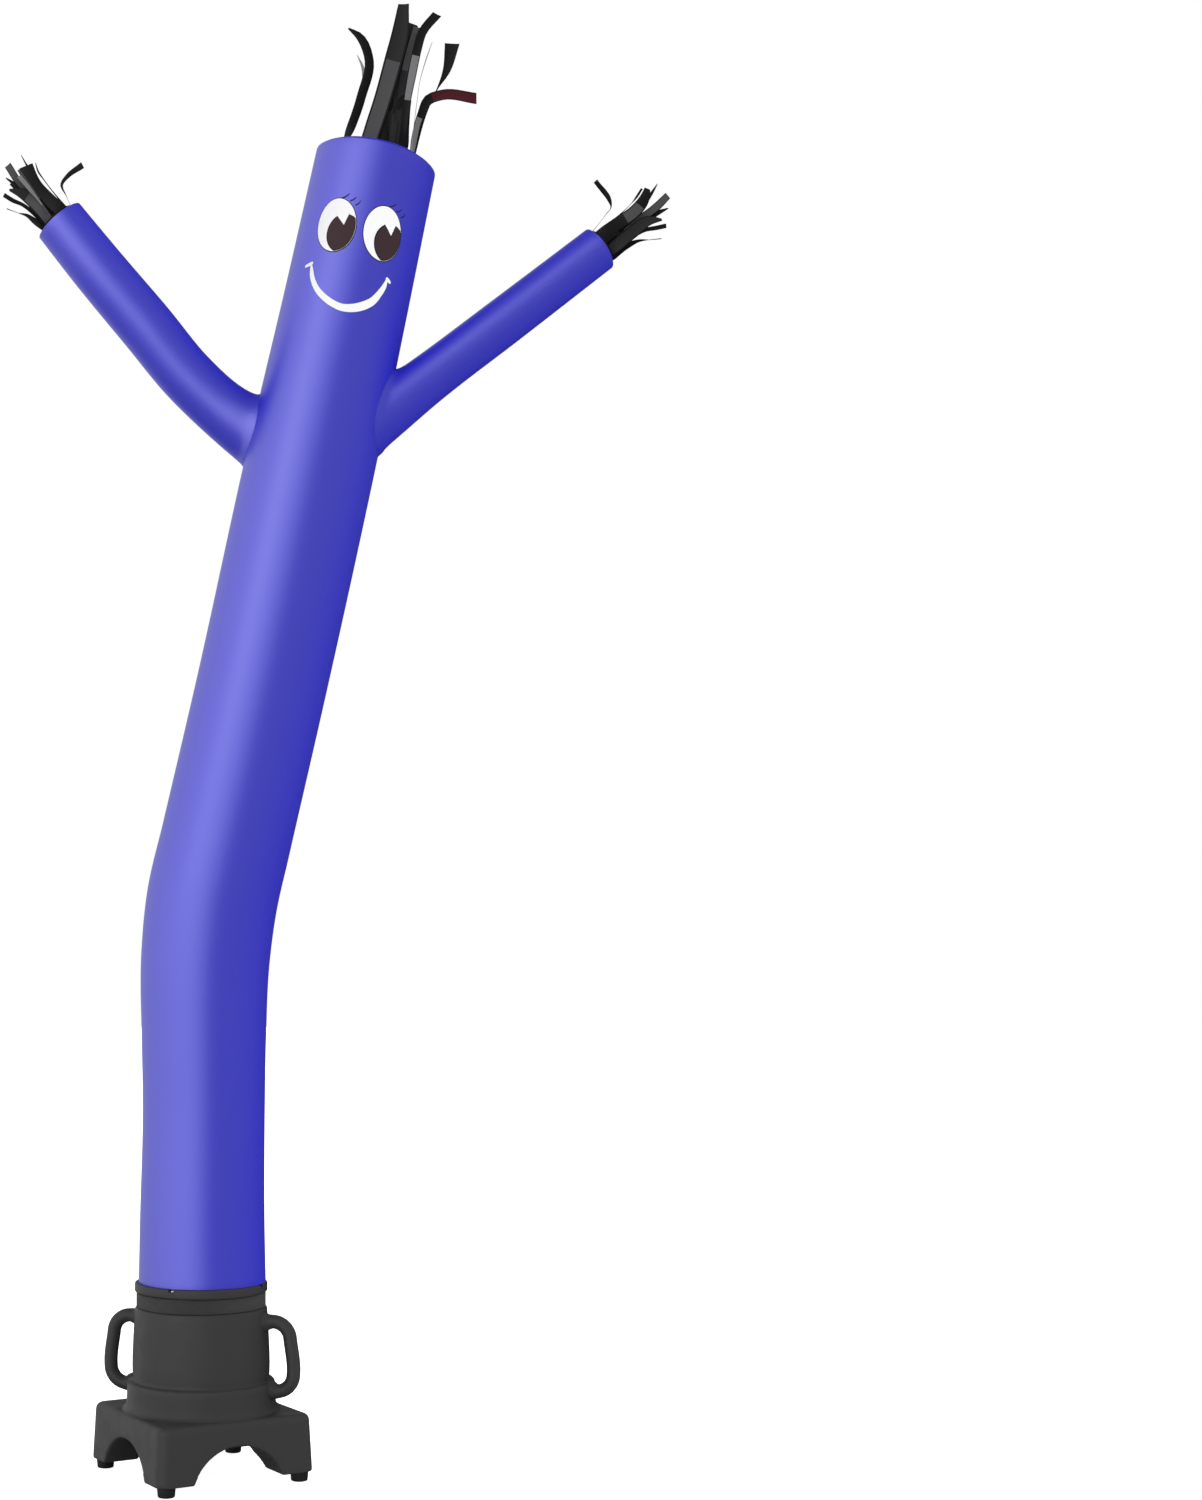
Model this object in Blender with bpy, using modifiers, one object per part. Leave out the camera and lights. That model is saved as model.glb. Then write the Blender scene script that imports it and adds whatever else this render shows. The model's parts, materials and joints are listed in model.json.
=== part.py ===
"""Inflatable air dancer: a blown-up cloth tube figure standing on its blower.

The figure leans in the XZ plane and faces -Y. The blower under it is turned about Z.
Metres, +Z up, origin at the bottom centre of the whole object's box.
"""
import math

import bmesh
import bpy
import numpy as np
from mathutils import Matrix, Vector

# ------------------------------------------------------------ driving sizes
GAP = 0.0003              # running gap between pieces that touch
CLOTH = 0.0012            # thickness of the figure's cloth
RIBBON = 0.0010           # thickness of a streamer
BLOWER_TURN = -19.0       # degrees about Z, from the figure's frame to the blower's
TURNED_STEPS = 40         # facets round the moulded housing

# body tube: centreline and outer diameter, from the blower's ring to the head
BODY_ROWS = (  # x, y, z, diameter
    (0.002, 0.0, 0.3503, 0.231),
    (0.002, 0.0, 0.450, 0.227),
    (0.005, 0.0, 0.672, 0.222),
    (0.005, 0.0, 0.790, 0.226),
    (0.008, 0.0, 0.939, 0.234),
    (0.020, 0.0, 1.043, 0.238),
    (0.045, 0.0, 1.152, 0.237),
    (0.104, 0.0, 1.407, 0.236),
    (0.200, 0.0, 1.844, 0.236),
    (0.262, 0.0, 2.124, 0.228),
    (0.318, 0.0, 2.386, 0.221),
)
BODY_POINTS = 25
BODY_SIDES = 28
ARM_SIDES = 16
CROWN_RISE = 0.014        # dome of the crown over the head's rim
VENT_RADIUS = 0.068       # air vent in the crown
SEAM = 0.006              # turned-in edge of an end panel

ARMS = {  # name: rows of x, y, z, diameter from inside the body to the hand
    "arm_left": (
        (0.150, 0.030, 1.868, 0.128),
        (0.091, 0.030, 1.906, 0.118),
        (0.036, 0.028, 1.945, 0.105),
        (-0.022, 0.024, 1.998, 0.102),
        (-0.100, 0.014, 2.089, 0.102),
        (-0.187, 0.004, 2.189, 0.099),
        (-0.256, 0.000, 2.273, 0.095),
    ),
    "arm_right": (
        (0.250, -0.012, 1.866, 0.112),
        (0.330, -0.012, 1.927, 0.100),
        (0.400, -0.010, 1.982, 0.090),
        (0.560, -0.004, 2.106, 0.086),
        (0.728, 0.000, 2.237, 0.083),
    ),
}
ARM_POINTS = 10
HAND_RISE = 0.003
HAND_VENT = 0.0335
STRIP = 0.0050            # wall of the round backing strip that streamers are sewn to

# Streamers. Each row: place of the root round the vent (degrees, 0 on the side that the
# figure leans to, or the upper side of a hand, and 90 at the back), widths at the root,
# middle and tip, twist in degrees, then the places it passes as (sideways, back, along)
# from the vent's centre.
HEAD_STREAMERS = (
    (190, (.014, .017, .007), 80, ((-.054, -.010, .090), (-.054, -.012, .163), (-.100, -.012, .216))),
    (245, (.030, .036, .015), 25, ((-.022, -.052, .070), (-.008, -.054, .170), (-.014, -.056, .281))),
    (275, (.028, .028, .012), -5, ((.010, -.058, .085), (.016, -.062, .135), (.016, -.068, .190))),
    (303, (.028, .028, .016), -33, ((.028, -.050, .091), (.028, -.046, .205), (.050, -.040, .271))),
    (345, (.012, .016, .018), -75, ((.060, -.022, .080), (.070, -.026, .122), (.151, -.030, .138))),
    (15, (.008, .008, .024), 75, ((.068, .012, .080), (.076, .012, .138), (.088, .012, .227))),
    (55, (.026, .024, .010), 25, ((.030, .052, .090), (.028, .054, .160), (.034, .060, .245))),
    (90, (.026, .034, .034), -5, ((.006, .062, .085), (.008, .062, .150), (.012, .064, .246))),
    (126, (.024, .022, .010), 25, ((-.034, .050, .080), (-.036, .050, .130), (-.044, .058, .190))),
    (160, (.012, .014, .006), -60, ((-.058, .016, .070), (-.062, .018, .110), (-.076, .022, .160))),
)
HAND_STREAMERS = (
    (12, (.006, .005, .008), 78, ((.038, .006, .030), (.048, .006, .057), (.097, .006, .061))),
    (55, (.018, .016, .008), 30, ((.014, .018, .055), (.013, .018, .090), (.020, .022, .118))),
    (112, (.016, .015, .008), -20, ((-.012, .022, .050), (-.014, .024, .085), (-.026, .030, .128))),
    (155, (.010, .009, .006), 60, ((-.027, .012, .040), (-.032, .012, .078), (-.046, .014, .107))),
    (188, (.008, .007, .003), 80, ((-.034, .000, .030), (-.037, .000, .052), (-.056, .000, .081))),
    (218, (.014, .018, .007), 50, ((-.022, -.016, .045), (-.018, -.018, .076), (-.035, -.020, .110))),
    (250, (.018, .017, .013), 20, ((-.011, -.026, .055), (-.009, -.026, .100), (-.007, -.026, .144))),
    (295, (.016, .018, .026), -25, ((.012, -.026, .050), (.010, -.024, .088), (.016, -.024, .125))),
)
TWIST_SPAN = (0.12, 0.45)  # shares of its length between which a streamer makes its twist
STREAMER_POINTS = 7

# blower
BORE_RADIUS = 0.105
RING_RADIUS = 0.1205
RING_BOTTOM = 0.3333
RING_TOP = 0.350
LEDGE_INNER = 0.1005      # ledge inside the cap ring that the guard lies on
LEDGE_OUTER = 0.1068
NECK_RADIUS = 0.1135
BASE_TOP = 0.121
HOUSING_ROWS = (          # outer radius, height: neck, shoulder, drum, skirt
    (NECK_RADIUS, 0.333), (NECK_RADIUS, 0.306), (0.1185, 0.305), (0.1203, 0.299),
    (0.1240, 0.235), (0.1250, 0.200), (0.1235, 0.177),
    (0.1300, 0.173), (0.1340, 0.169), (0.1345, 0.148), (0.1362, 0.130),
    (0.1420, BASE_TOP + GAP),
)
CORE = 0.004              # radius of the turned housing's middle, inside its bore
BASE_BOTTOM = 0.018
BASE_HALF_TOP = 0.1495
BASE_HALF_BOTTOM = 0.154
BASE_CORNER = 0.018
BASE_EDGE = 0.009
ARCH_RADIUS = 0.092
ARCH_TOP = 0.078
INLET_RADIUS = 0.098      # mouth in the base under the housing's bore
FOOT_REACH = 0.186        # axis of the blower to a foot's axis
FOOT_RADIUS = 0.0165
HANDLE_RADIUS = 0.0125
HANDLE_TOP = 0.2825       # centreline heights
HANDLE_BOTTOM = 0.1575
HANDLE_OUT_TOP = 0.1690   # centreline distances from the blower's axis
HANDLE_OUT_BOTTOM = 0.1750
HANDLE_BEND = 0.032
HANDLE_ROOTS = (0.112, 0.118)         # top and bottom, inside the housing's wall
HANDLE_SPLAY = 0.002      # the ends come this much closer together at the housing

BAND_BOTTOM = 0.3060
BAND_TOP = 0.3325
BAND_RADIUS = 0.1175

GUARD_WIRE = 0.0015
GUARD_HEIGHT = 0.3450
GUARD_RINGS = (0.032, 0.068, 0.1035)
NOTCH = (0.0135, 0.0150, 0.0045)      # wide, radial, deep
RING_SCREW_TURNS = (-97.0, -7.0, 83.0, 173.0)
RING_SCREW_REACH = 0.1135
NOTCH_REACH = 0.1165      # middle of a notch, open on the ring's outer side
SCREW_RADIUS = 0.0043
SCREW_HEIGHT = 0.0024

PAD_FACE = 0.1280
PAD_ROOT = 0.0600
PAD_EDGE = 0.0050
PAD_HALF = 0.056
PAD_BOTTOM = 0.182
PAD_TOP = 0.294
PLATE = 0.0030            # flange of the control cover
PLATE_HALF = 0.0500
PLATE_BOTTOM = 0.1865
PLATE_TOP = 0.2895
SWITCH_DEPTH = 0.036
SWITCH_BOX_BOTTOM = 0.1940
COVER_BOXES = (           # name, half width, depth, bottom, top
    ("hood", 0.0410, 0.047, 0.2270, 0.2770),
    ("switch_box", 0.0403, SWITCH_DEPTH, SWITCH_BOX_BOTTOM, 0.2490),
)
COVER_EDGE = 0.006
WELL_HALF = (0.0125, 0.0130)          # room for the switch behind its bezel
WELL_DEEP = 0.013
COVER_SCREW = (0.0435, 0.0445)        # sideways, up and down from the plate's middle
SWITCH_X = -0.0060
SWITCH_Z = 0.2105
BEZEL_HALF = 0.0148
BEZEL_THICK = 0.0030
WINDOW_HALF = (0.0098, 0.0118)
ROCKER_HALF = (0.0091, 0.0111)
ROCKER_DEPTH = 0.0060
ROCKER_REST = 7.0         # degrees: the ON side lies pressed in
GLAND_X = 0.0140
GLAND_RADIUS = 0.0100

COLLECTION = "air_dancer"


# ------------------------------------------------------------ scene and objects
def clear_scene():
    for old in list(bpy.data.objects):
        bpy.data.objects.remove(old, do_unlink=True)


def new_collection(name):
    made = bpy.data.collections.new(name)
    bpy.context.scene.collection.children.link(made)
    return made


def material(name, colour, roughness, metallic=0.0):
    made = bpy.data.materials.new(name)
    made.use_nodes = True
    shader = made.node_tree.nodes["Principled BSDF"]
    shader.inputs["Base Color"].default_value = (*colour, 1.0)
    shader.inputs["Roughness"].default_value = roughness
    shader.inputs["Metallic"].default_value = metallic
    return made


def place(name, mesh, finish, parent, home=None):
    """A mesh as a finished piece of the object, smooth but for its sharp edges."""
    piece = bpy.data.objects.new(name, mesh)
    (home or parts).objects.link(piece)
    mesh.materials.clear()
    mesh.materials.append(finish)
    mesh.shade_smooth()
    mesh.set_sharp_from_angle(angle=math.radians(35))
    piece.parent = parent
    return piece


def as_cutter(piece):
    piece.hide_render = True
    piece.display_type = "WIRE"
    return piece


def boolean(piece, cutter, operation="DIFFERENCE"):
    cut = piece.modifiers.new("cut_" + cutter.name, "BOOLEAN")
    cut.operation = operation
    cut.solver = "EXACT"
    cut.object = cutter
    return cut


def mesh_of(shape):
    """Welded mesh of a bmesh."""
    bmesh.ops.remove_doubles(shape, verts=shape.verts, dist=0.000005)
    bmesh.ops.recalc_face_normals(shape, faces=shape.faces)
    mesh = bpy.data.meshes.new("shape")
    shape.to_mesh(mesh)
    shape.free()
    return mesh


def box(low, high, bevel=0.0, segments=2):
    """Mesh of a box between two corners, its edges rounded."""
    low = Vector(low)
    high = Vector(high)
    shape = bmesh.new()
    bmesh.ops.create_cube(shape, size=1.0)
    bmesh.ops.scale(shape, vec=high - low, verts=shape.verts)
    bmesh.ops.translate(shape, vec=(high + low) / 2, verts=shape.verts)
    if bevel:
        bmesh.ops.bevel(shape, geom=list(shape.edges), offset=bevel, segments=segments,
                        profile=0.5, affect="EDGES", material=-1)
    return mesh_of(shape)


def cylinder(radius, low, high, sides=32, top_radius=None, along_x=False, rim=0.0):
    """Mesh of a cylinder or cone from low to high along Z, or along X."""
    shape = bmesh.new()
    bmesh.ops.create_cone(shape, cap_ends=True, segments=sides, radius1=radius,
                          radius2=radius if top_radius is None else top_radius,
                          depth=high - low)
    bmesh.ops.translate(shape, vec=(0, 0, (high + low) / 2), verts=shape.verts)
    if rim:
        edges = [e for e in shape.edges if len(e.link_faces) == 2
                 and e.calc_face_angle() > math.radians(60)]
        bmesh.ops.bevel(shape, geom=edges, offset=rim, segments=2, profile=0.5,
                        affect="EDGES", material=-1)
    if along_x:
        bmesh.ops.rotate(shape, matrix=Matrix.Rotation(math.pi / 2, 3, "Y"), verts=shape.verts)
    return mesh_of(shape)


def turned(name, profile, finish, parent, steps=TURNED_STEPS, home=None):
    """Closed profile of (radius, height) points turned about Z with a Screw modifier."""
    mesh = bpy.data.meshes.new(name)
    points = [(radius, 0.0, height) for radius, height in profile]
    edges = [(i, (i + 1) % len(points)) for i in range(len(points))]
    mesh.from_pydata(points, edges, [])
    piece = place(name, mesh, finish, parent, home)
    screw = piece.modifiers.new("turn", "SCREW")
    screw.steps = steps
    screw.render_steps = steps
    screw.use_merge_vertices = True
    screw.merge_threshold = 0.00001
    screw.use_smooth_shade = True
    return piece


# ------------------------------------------------------------ tubes and streamers
def smooth_rows(rows, count):
    """Rows resampled at even steps on one smooth curve through them.

    The first three columns are a place, whose running length is the curve's parameter.
    """
    rows = np.array(rows, dtype=float)
    steps = np.linalg.norm(np.diff(rows[:, :3], axis=0), axis=1)
    along = np.concatenate(([0.0], np.cumsum(steps)))
    slopes = np.gradient(rows, along, axis=0)
    at = np.linspace(0.0, along[-1], count)
    first = np.clip(np.searchsorted(along, at, side="right") - 1, 0, len(rows) - 2)
    width = (along[first + 1] - along[first])[:, None]
    t = (at - along[first])[:, None] / width
    return (rows[first] * (2 * t**3 - 3 * t**2 + 1)
            + slopes[first] * width * (t**3 - 2 * t**2 + t)
            + rows[first + 1] * (3 * t**2 - 2 * t**3)
            + slopes[first + 1] * width * (t**3 - t**2))


def curve_mesh(points, radii, sides, closed_ends=True):
    """Mesh of a round tube of varying radius along a curve."""
    data = bpy.data.curves.new("path", "CURVE")
    data.dimensions = "3D"
    data.twist_mode = "MINIMUM"
    data.bevel_depth = 1.0
    data.bevel_resolution = (sides - 4) // 2
    data.use_fill_caps = closed_ends
    spline = data.splines.new("POLY")
    spline.points.add(len(points) - 1)
    for index, point in enumerate(spline.points):
        point.co = (*points[index], 1.0)
        point.radius = radii[index]
    guide = bpy.data.objects.new("path", data)
    bpy.context.scene.collection.objects.link(guide)
    graph = bpy.context.evaluated_depsgraph_get()
    mesh = bpy.data.meshes.new_from_object(guide.evaluated_get(graph))
    bpy.data.objects.remove(guide)
    bpy.data.curves.remove(data)
    shape = bmesh.new()
    shape.from_mesh(mesh)
    return mesh_of(shape)


def tube(rows, count, sides, grow=0.0, closed_ends=True):
    """Round tube through table rows, its outer surface grown by a small amount."""
    path = smooth_rows(rows, count)
    return curve_mesh(path[:, :3], path[:, 3] / 2 + grow, sides, closed_ends)


def outward_faces(mesh, centreline):
    """Turns an open tube's faces away from its centreline."""
    shape = bmesh.new()
    shape.from_mesh(mesh)
    shape.faces.ensure_lookup_table()
    face = shape.faces[len(shape.faces) // 2]
    middle = face.calc_center_median()
    nearest = min((Vector(point) for point in centreline), key=lambda p: (p - middle).length)
    if face.normal.dot(middle - nearest) < 0:
        bmesh.ops.reverse_faces(shape, faces=shape.faces)
    shape.to_mesh(mesh)
    shape.free()
    return mesh


def cloth_tube(name, rows, count, sides, finish):
    """Open tube of cloth whose outer surface follows the rows."""
    path = smooth_rows(rows, count)
    mesh = outward_faces(tube(rows, count, sides, closed_ends=False), path[:, :3])
    piece = place(name, mesh, finish, None)
    wall = piece.modifiers.new("cloth", "SOLIDIFY")
    wall.thickness = CLOTH
    wall.offset = -1.0
    return piece


def end_frame(rows):
    """Centre, unit direction and unit sideways direction (in XZ) of a tube's last ring."""
    path = smooth_rows(rows, 30)
    centre = Vector(path[-1, :3])
    along = (centre - Vector(path[-2, :3])).normalized()
    side = Vector((along.z, 0.0, -along.x)).normalized()
    return centre, along, side


def streamer(stops, across, widths, twist):
    """One ribbon through its stops: an edge swept along them, then given thickness."""
    shares = np.linspace(0.0, 1.0, len(stops))
    wide = np.interp(shares, (0.0, 0.5, 1.0), widths)
    path = smooth_rows([(*stop, *row) for stop, row in zip(stops, zip(shares, wide))],
                       STREAMER_POINTS)
    places = [Vector(row[:3]) for row in path]
    shape = bmesh.new()
    edge = shape.edges.new([shape.verts.new(places[0] + across * widths[0] * sign / 2)
                            for sign in (-1, 1)])
    for index in range(1, len(places)):
        heading = (places[index] - places[index - 1]).normalized()
        across = (across - heading * across.dot(heading)).normalized()
        turn = math.radians(twist) * float(np.interp(path[index, 3], TWIST_SPAN, (0, 1)))
        half = Matrix.Rotation(turn, 3, heading) @ across * path[index, 4] / 2
        swept = bmesh.ops.extrude_edge_only(shape, edges=[edge])["geom"]
        edge = next(part for part in swept if isinstance(part, bmesh.types.BMEdge))
        for vert, sign in zip([part for part in swept if isinstance(part, bmesh.types.BMVert)],
                              (-1, 1)):
            vert.co = places[index] + half * sign
    bmesh.ops.recalc_face_normals(shape, faces=shape.faces)
    bmesh.ops.solidify(shape, geom=shape.faces, thickness=RIBBON)
    return mesh_of(shape)


def join_meshes(meshes):
    joined = bmesh.new()
    for mesh in meshes:
        joined.from_mesh(mesh)
    result = bpy.data.meshes.new("joined")
    joined.to_mesh(result)
    joined.free()
    return result


def streamer_bunch(name, rows, rise, vent, sides, table, outer_side, finish):
    """Streamers sewn by their roots to a round backing strip in a tube's vent."""
    end, along, side = end_frame(rows)
    centre = end + along * (rise - CLOTH / 2)
    side *= outer_side
    frame = Matrix((side, along.cross(side), along)).transposed()
    radius = vent - GAP - STRIP / 2
    strands = []
    for angle, widths, twist, way in table:
        turn = math.radians(angle)
        root = (radius * math.cos(turn), radius * math.sin(turn), 0.0)
        across = frame @ Vector((-math.sin(turn), math.cos(turn), 0))
        stops = [centre + frame @ Vector(stop) for stop in (root, *way)]
        strands.append(streamer(stops, across, widths, twist))
    ribbons = place(name + "_ribbons", join_meshes(strands), finish, None, cutters)
    as_cutter(ribbons)
    strip = turned(name, ((radius + STRIP / 2, 0.004), (radius + STRIP / 2, -0.004),
                          (radius - STRIP / 2, -0.004), (radius - STRIP / 2, 0.004)),
                   finish, None, steps=sides)
    strip.matrix_world = Matrix.Translation(centre) @ frame.to_4x4()
    boolean(strip, ribbons, "UNION")
    return strip


# ------------------------------------------------------------ the figure
def build_body(cloth):
    body = cloth_tube("body_tube", BODY_ROWS, BODY_POINTS, BODY_SIDES, cloth)
    for name, rows in ARMS.items():
        inner = [(x, y, z, wide - 0.030) for x, y, z, wide in rows]
        hole = place(name + "_hole", tube(inner[:4], 6, ARM_SIDES), cloth, None, cutters)
        boolean(body, as_cutter(hole))
    return body


def build_arms(cloth):
    """Arms are cut back to the body's surface, where they are sewn on."""
    room = tube(BODY_ROWS, BODY_POINTS, BODY_SIDES, grow=GAP)
    body_room = as_cutter(place("body_room", room, cloth, None, cutters))
    for name, rows in ARMS.items():
        arm = cloth_tube(name, rows, ARM_POINTS, ARM_SIDES, cloth)
        boolean(arm, body_room)


def end_panel(name, rows, vent, rise, sides, cloth):
    """Domed panel that closes a tube's end round its vent; it sits inside the rim."""
    centre, along, side = end_frame(rows)
    rim = rows[-1][3] / 2 - CLOTH - GAP
    inner = 0.75 * rim + 0.25 * vent
    panel = turned(name, (
        (vent, rise), (inner, rise * 0.62), (rim, 0.0), (rim, -SEAM),
        (rim - CLOTH, -SEAM), (inner - CLOTH, rise * 0.62 - CLOTH), (vent, rise - CLOTH),
    ), cloth, None, steps=sides)
    turn = Matrix((side, along.cross(side), along)).transposed()
    panel.matrix_world = Matrix.Translation(centre) @ turn.to_4x4()


def build_ends(cloth, ribbon):
    """Head and hands: each end has its panel, and streamers sewn in the vent."""
    end_panel("crown_panel", BODY_ROWS, VENT_RADIUS, CROWN_RISE, BODY_SIDES, cloth)
    streamer_bunch("head_streamers", BODY_ROWS, CROWN_RISE, VENT_RADIUS, BODY_SIDES,
                   HEAD_STREAMERS, 1, ribbon)
    for arm, hand, outer_side in (("arm_left", "hand_left", 1), ("arm_right", "hand_right", -1)):
        end_panel(hand + "_panel", ARMS[arm], HAND_VENT, HAND_RISE, ARM_SIDES, cloth)
        streamer_bunch(hand + "_streamers", ARMS[arm], HAND_RISE, HAND_VENT, ARM_SIDES,
                       HAND_STREAMERS, outer_side, ribbon)


# ------------------------------------------------------------ the blower
def housing_outline(grow=0.0):
    """Outer side of the moulded housing, top to bottom, then its middle, below and above."""
    sides = [(radius + grow, height) for radius, height in HOUSING_ROWS]
    return sides + [(CORE, HOUSING_ROWS[-1][1]), (CORE, HOUSING_ROWS[0][1])]


def build_housing(plastic):
    core = turned("housing", housing_outline(), plastic, blower)
    pad = place("housing_pad", box((-PAD_HALF, PAD_ROOT, PAD_BOTTOM),
                                   (PAD_HALF, PAD_FACE, PAD_TOP), PAD_EDGE, 2),
                plastic, blower, cutters)
    bore = place("bore", cylinder(BORE_RADIUS, 0.0, 0.4, TURNED_STEPS), plastic, blower,
                 cutters)
    boolean(core, as_cutter(pad), "UNION")
    boolean(core, as_cutter(bore))


def build_base(plastic):
    """Square foot of the moulding, with an arched tunnel through it each way."""
    shape = bmesh.new()
    bmesh.ops.create_cube(shape, size=2.0)
    for vert in shape.verts:
        half = BASE_HALF_TOP if vert.co.z > 0 else BASE_HALF_BOTTOM
        vert.co.x *= half
        vert.co.y *= half
        vert.co.z = BASE_TOP if vert.co.z > 0 else BASE_BOTTOM
    upright = [e for e in shape.edges if abs(e.verts[0].co.z - e.verts[1].co.z) > 0.01]
    bmesh.ops.bevel(shape, geom=upright, offset=BASE_CORNER, segments=4, profile=0.5,
                    affect="EDGES", material=-1)
    level = [e for e in shape.edges if abs(e.verts[0].co.z - e.verts[1].co.z) < 0.001]
    bmesh.ops.bevel(shape, geom=level, offset=BASE_EDGE, segments=2, profile=0.5,
                    affect="EDGES", material=-1)
    bmesh.ops.rotate(shape, matrix=Matrix.Rotation(math.pi / 4, 3, "Z"), verts=shape.verts)
    base = place("base", mesh_of(shape), plastic, blower)
    inlet = place("inlet", cylinder(INLET_RADIUS, 0.0, 0.2, 36), plastic, blower, cutters)
    inlet.rotation_euler.z = math.radians(3)
    boolean(base, as_cutter(inlet))
    for index in range(2):
        arch = place(f"arch_{index}", cylinder(ARCH_RADIUS, -0.2, 0.2, 32, along_x=True), plastic,
                     blower, cutters)
        arch.location.z = ARCH_TOP - ARCH_RADIUS
        arch.rotation_euler.z = math.radians(45 + 90 * index)
        boolean(base, as_cutter(arch))


def build_feet(rubber):
    for index, name in enumerate(("foot_right", "foot_back", "foot_left", "foot_front")):
        foot = place(name, cylinder(FOOT_RADIUS * 0.93, 0.0, BASE_BOTTOM - GAP, 20,
                                    top_radius=FOOT_RADIUS, rim=0.0012), rubber, blower)
        turn = math.radians(90 * index)
        foot.location = (FOOT_REACH * math.cos(turn), FOOT_REACH * math.sin(turn), 0.0)


def handle_path():
    """Centreline of one handle in the XZ plane, from the housing out, down and back."""
    def bend(centre_x, centre_z, start, stop):
        for step in range(5):
            turn = math.radians(start + (stop - start) * step / 4)
            yield (centre_x + HANDLE_BEND * math.cos(turn), 0.0,
                   centre_z + HANDLE_BEND * math.sin(turn))
    points = [(HANDLE_ROOTS[0], 0.0, HANDLE_TOP - HANDLE_SPLAY)]
    points += bend(HANDLE_OUT_TOP - HANDLE_BEND, HANDLE_TOP - HANDLE_BEND, 90, 2)
    points += bend(HANDLE_OUT_BOTTOM - HANDLE_BEND, HANDLE_BOTTOM + HANDLE_BEND, 0, -90)
    points.append((HANDLE_ROOTS[1], 0.0, HANDLE_BOTTOM + HANDLE_SPLAY))
    return points


def build_handles(plastic):
    room = turned("housing_room", housing_outline(GAP), plastic, blower, home=cutters)
    as_cutter(room)
    for name, turn in (("handle_right", 0), ("handle_left", 180)):
        points = handle_path()
        mesh = curve_mesh(points, [HANDLE_RADIUS] * len(points), 12)
        handle = place(name, mesh, plastic, blower)
        handle.rotation_euler.z = math.radians(turn)
        boolean(handle, room)


def build_ring(plastic, steel):
    """Cap ring on the neck; its top carries the guard, and four screws in notches."""
    ledge = GUARD_HEIGHT - GUARD_WIRE - GAP
    ring = turned("cap_ring", (
        (RING_RADIUS - 0.0025, RING_TOP), (RING_RADIUS - 0.0007, RING_TOP - 0.0008),
        (RING_RADIUS, RING_TOP - 0.0030), (RING_RADIUS, RING_BOTTOM + 0.0030),
        (RING_RADIUS - 0.0007, RING_BOTTOM + 0.0008), (RING_RADIUS - 0.0025, RING_BOTTOM),
        (LEDGE_INNER, RING_BOTTOM), (LEDGE_INNER, ledge), (LEDGE_OUTER, ledge),
        (LEDGE_OUTER, RING_TOP),
    ), plastic, blower)
    wide, radial, deep = NOTCH
    for index, turn in enumerate(RING_SCREW_TURNS):
        notch = place(f"notch_{index}", box((-radial / 2, -wide / 2, 0), (radial / 2, wide / 2,
                                            0.02)), plastic, blower, cutters)
        heading = math.radians(turn)
        notch.location = (NOTCH_REACH * math.cos(heading), NOTCH_REACH * math.sin(heading),
                          RING_TOP - deep)
        notch.rotation_euler.z = heading
        boolean(ring, as_cutter(notch))
        screw = screw_head(f"ring_screw_{index + 1}", steel)
        screw.location = (RING_SCREW_REACH * math.cos(heading),
                          RING_SCREW_REACH * math.sin(heading), RING_TOP - deep + GAP)
        screw.rotation_euler.z = heading


def screw_head(name, steel):
    """Pan head on its own face at z = 0."""
    return place(name, cylinder(SCREW_RADIUS, 0.0, SCREW_HEIGHT, 12,
                                top_radius=SCREW_RADIUS * 0.6), steel, blower)


def build_guard(steel):
    """Wire guard over the outlet: three rings on a cross of straight wires."""
    def hoop(name, radius, home):
        wire = ((radius, GUARD_HEIGHT + GUARD_WIRE), (radius + GUARD_WIRE, GUARD_HEIGHT),
                (radius, GUARD_HEIGHT - GUARD_WIRE), (radius - GUARD_WIRE, GUARD_HEIGHT))
        return turned(name, wire, steel, blower, steps=24, home=home)

    guard = hoop("outlet_guard", GUARD_RINGS[-1], parts)
    for index in range(2):
        inner = hoop(f"guard_hoop_{index}", GUARD_RINGS[index], cutters)
        boolean(guard, as_cutter(inner), "UNION")
        bar = place(f"guard_bar_{index}", cylinder(GUARD_WIRE * 0.9, -GUARD_RINGS[-1],
                                                   GUARD_RINGS[-1], 6, along_x=True),
                    steel, blower, cutters)
        bar.location.z = GUARD_HEIGHT - GUARD_WIRE * 0.4
        bar.rotation_euler.z = math.radians(45 + 90 * index)
        boolean(guard, as_cutter(bar), "UNION")


def build_band(tape):
    """Hook-and-loop band sewn shut round the neck."""
    inner = NECK_RADIUS + GAP
    turned("hook_loop_band", (
        (BAND_RADIUS - 0.001, BAND_TOP), (BAND_RADIUS, BAND_TOP - 0.002),
        (BAND_RADIUS, BAND_BOTTOM + 0.0025), (BAND_RADIUS - 0.001, BAND_BOTTOM + 0.0006),
        (inner, BAND_BOTTOM + 0.0006), (inner, BAND_TOP),
    ), tape, blower)


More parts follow.
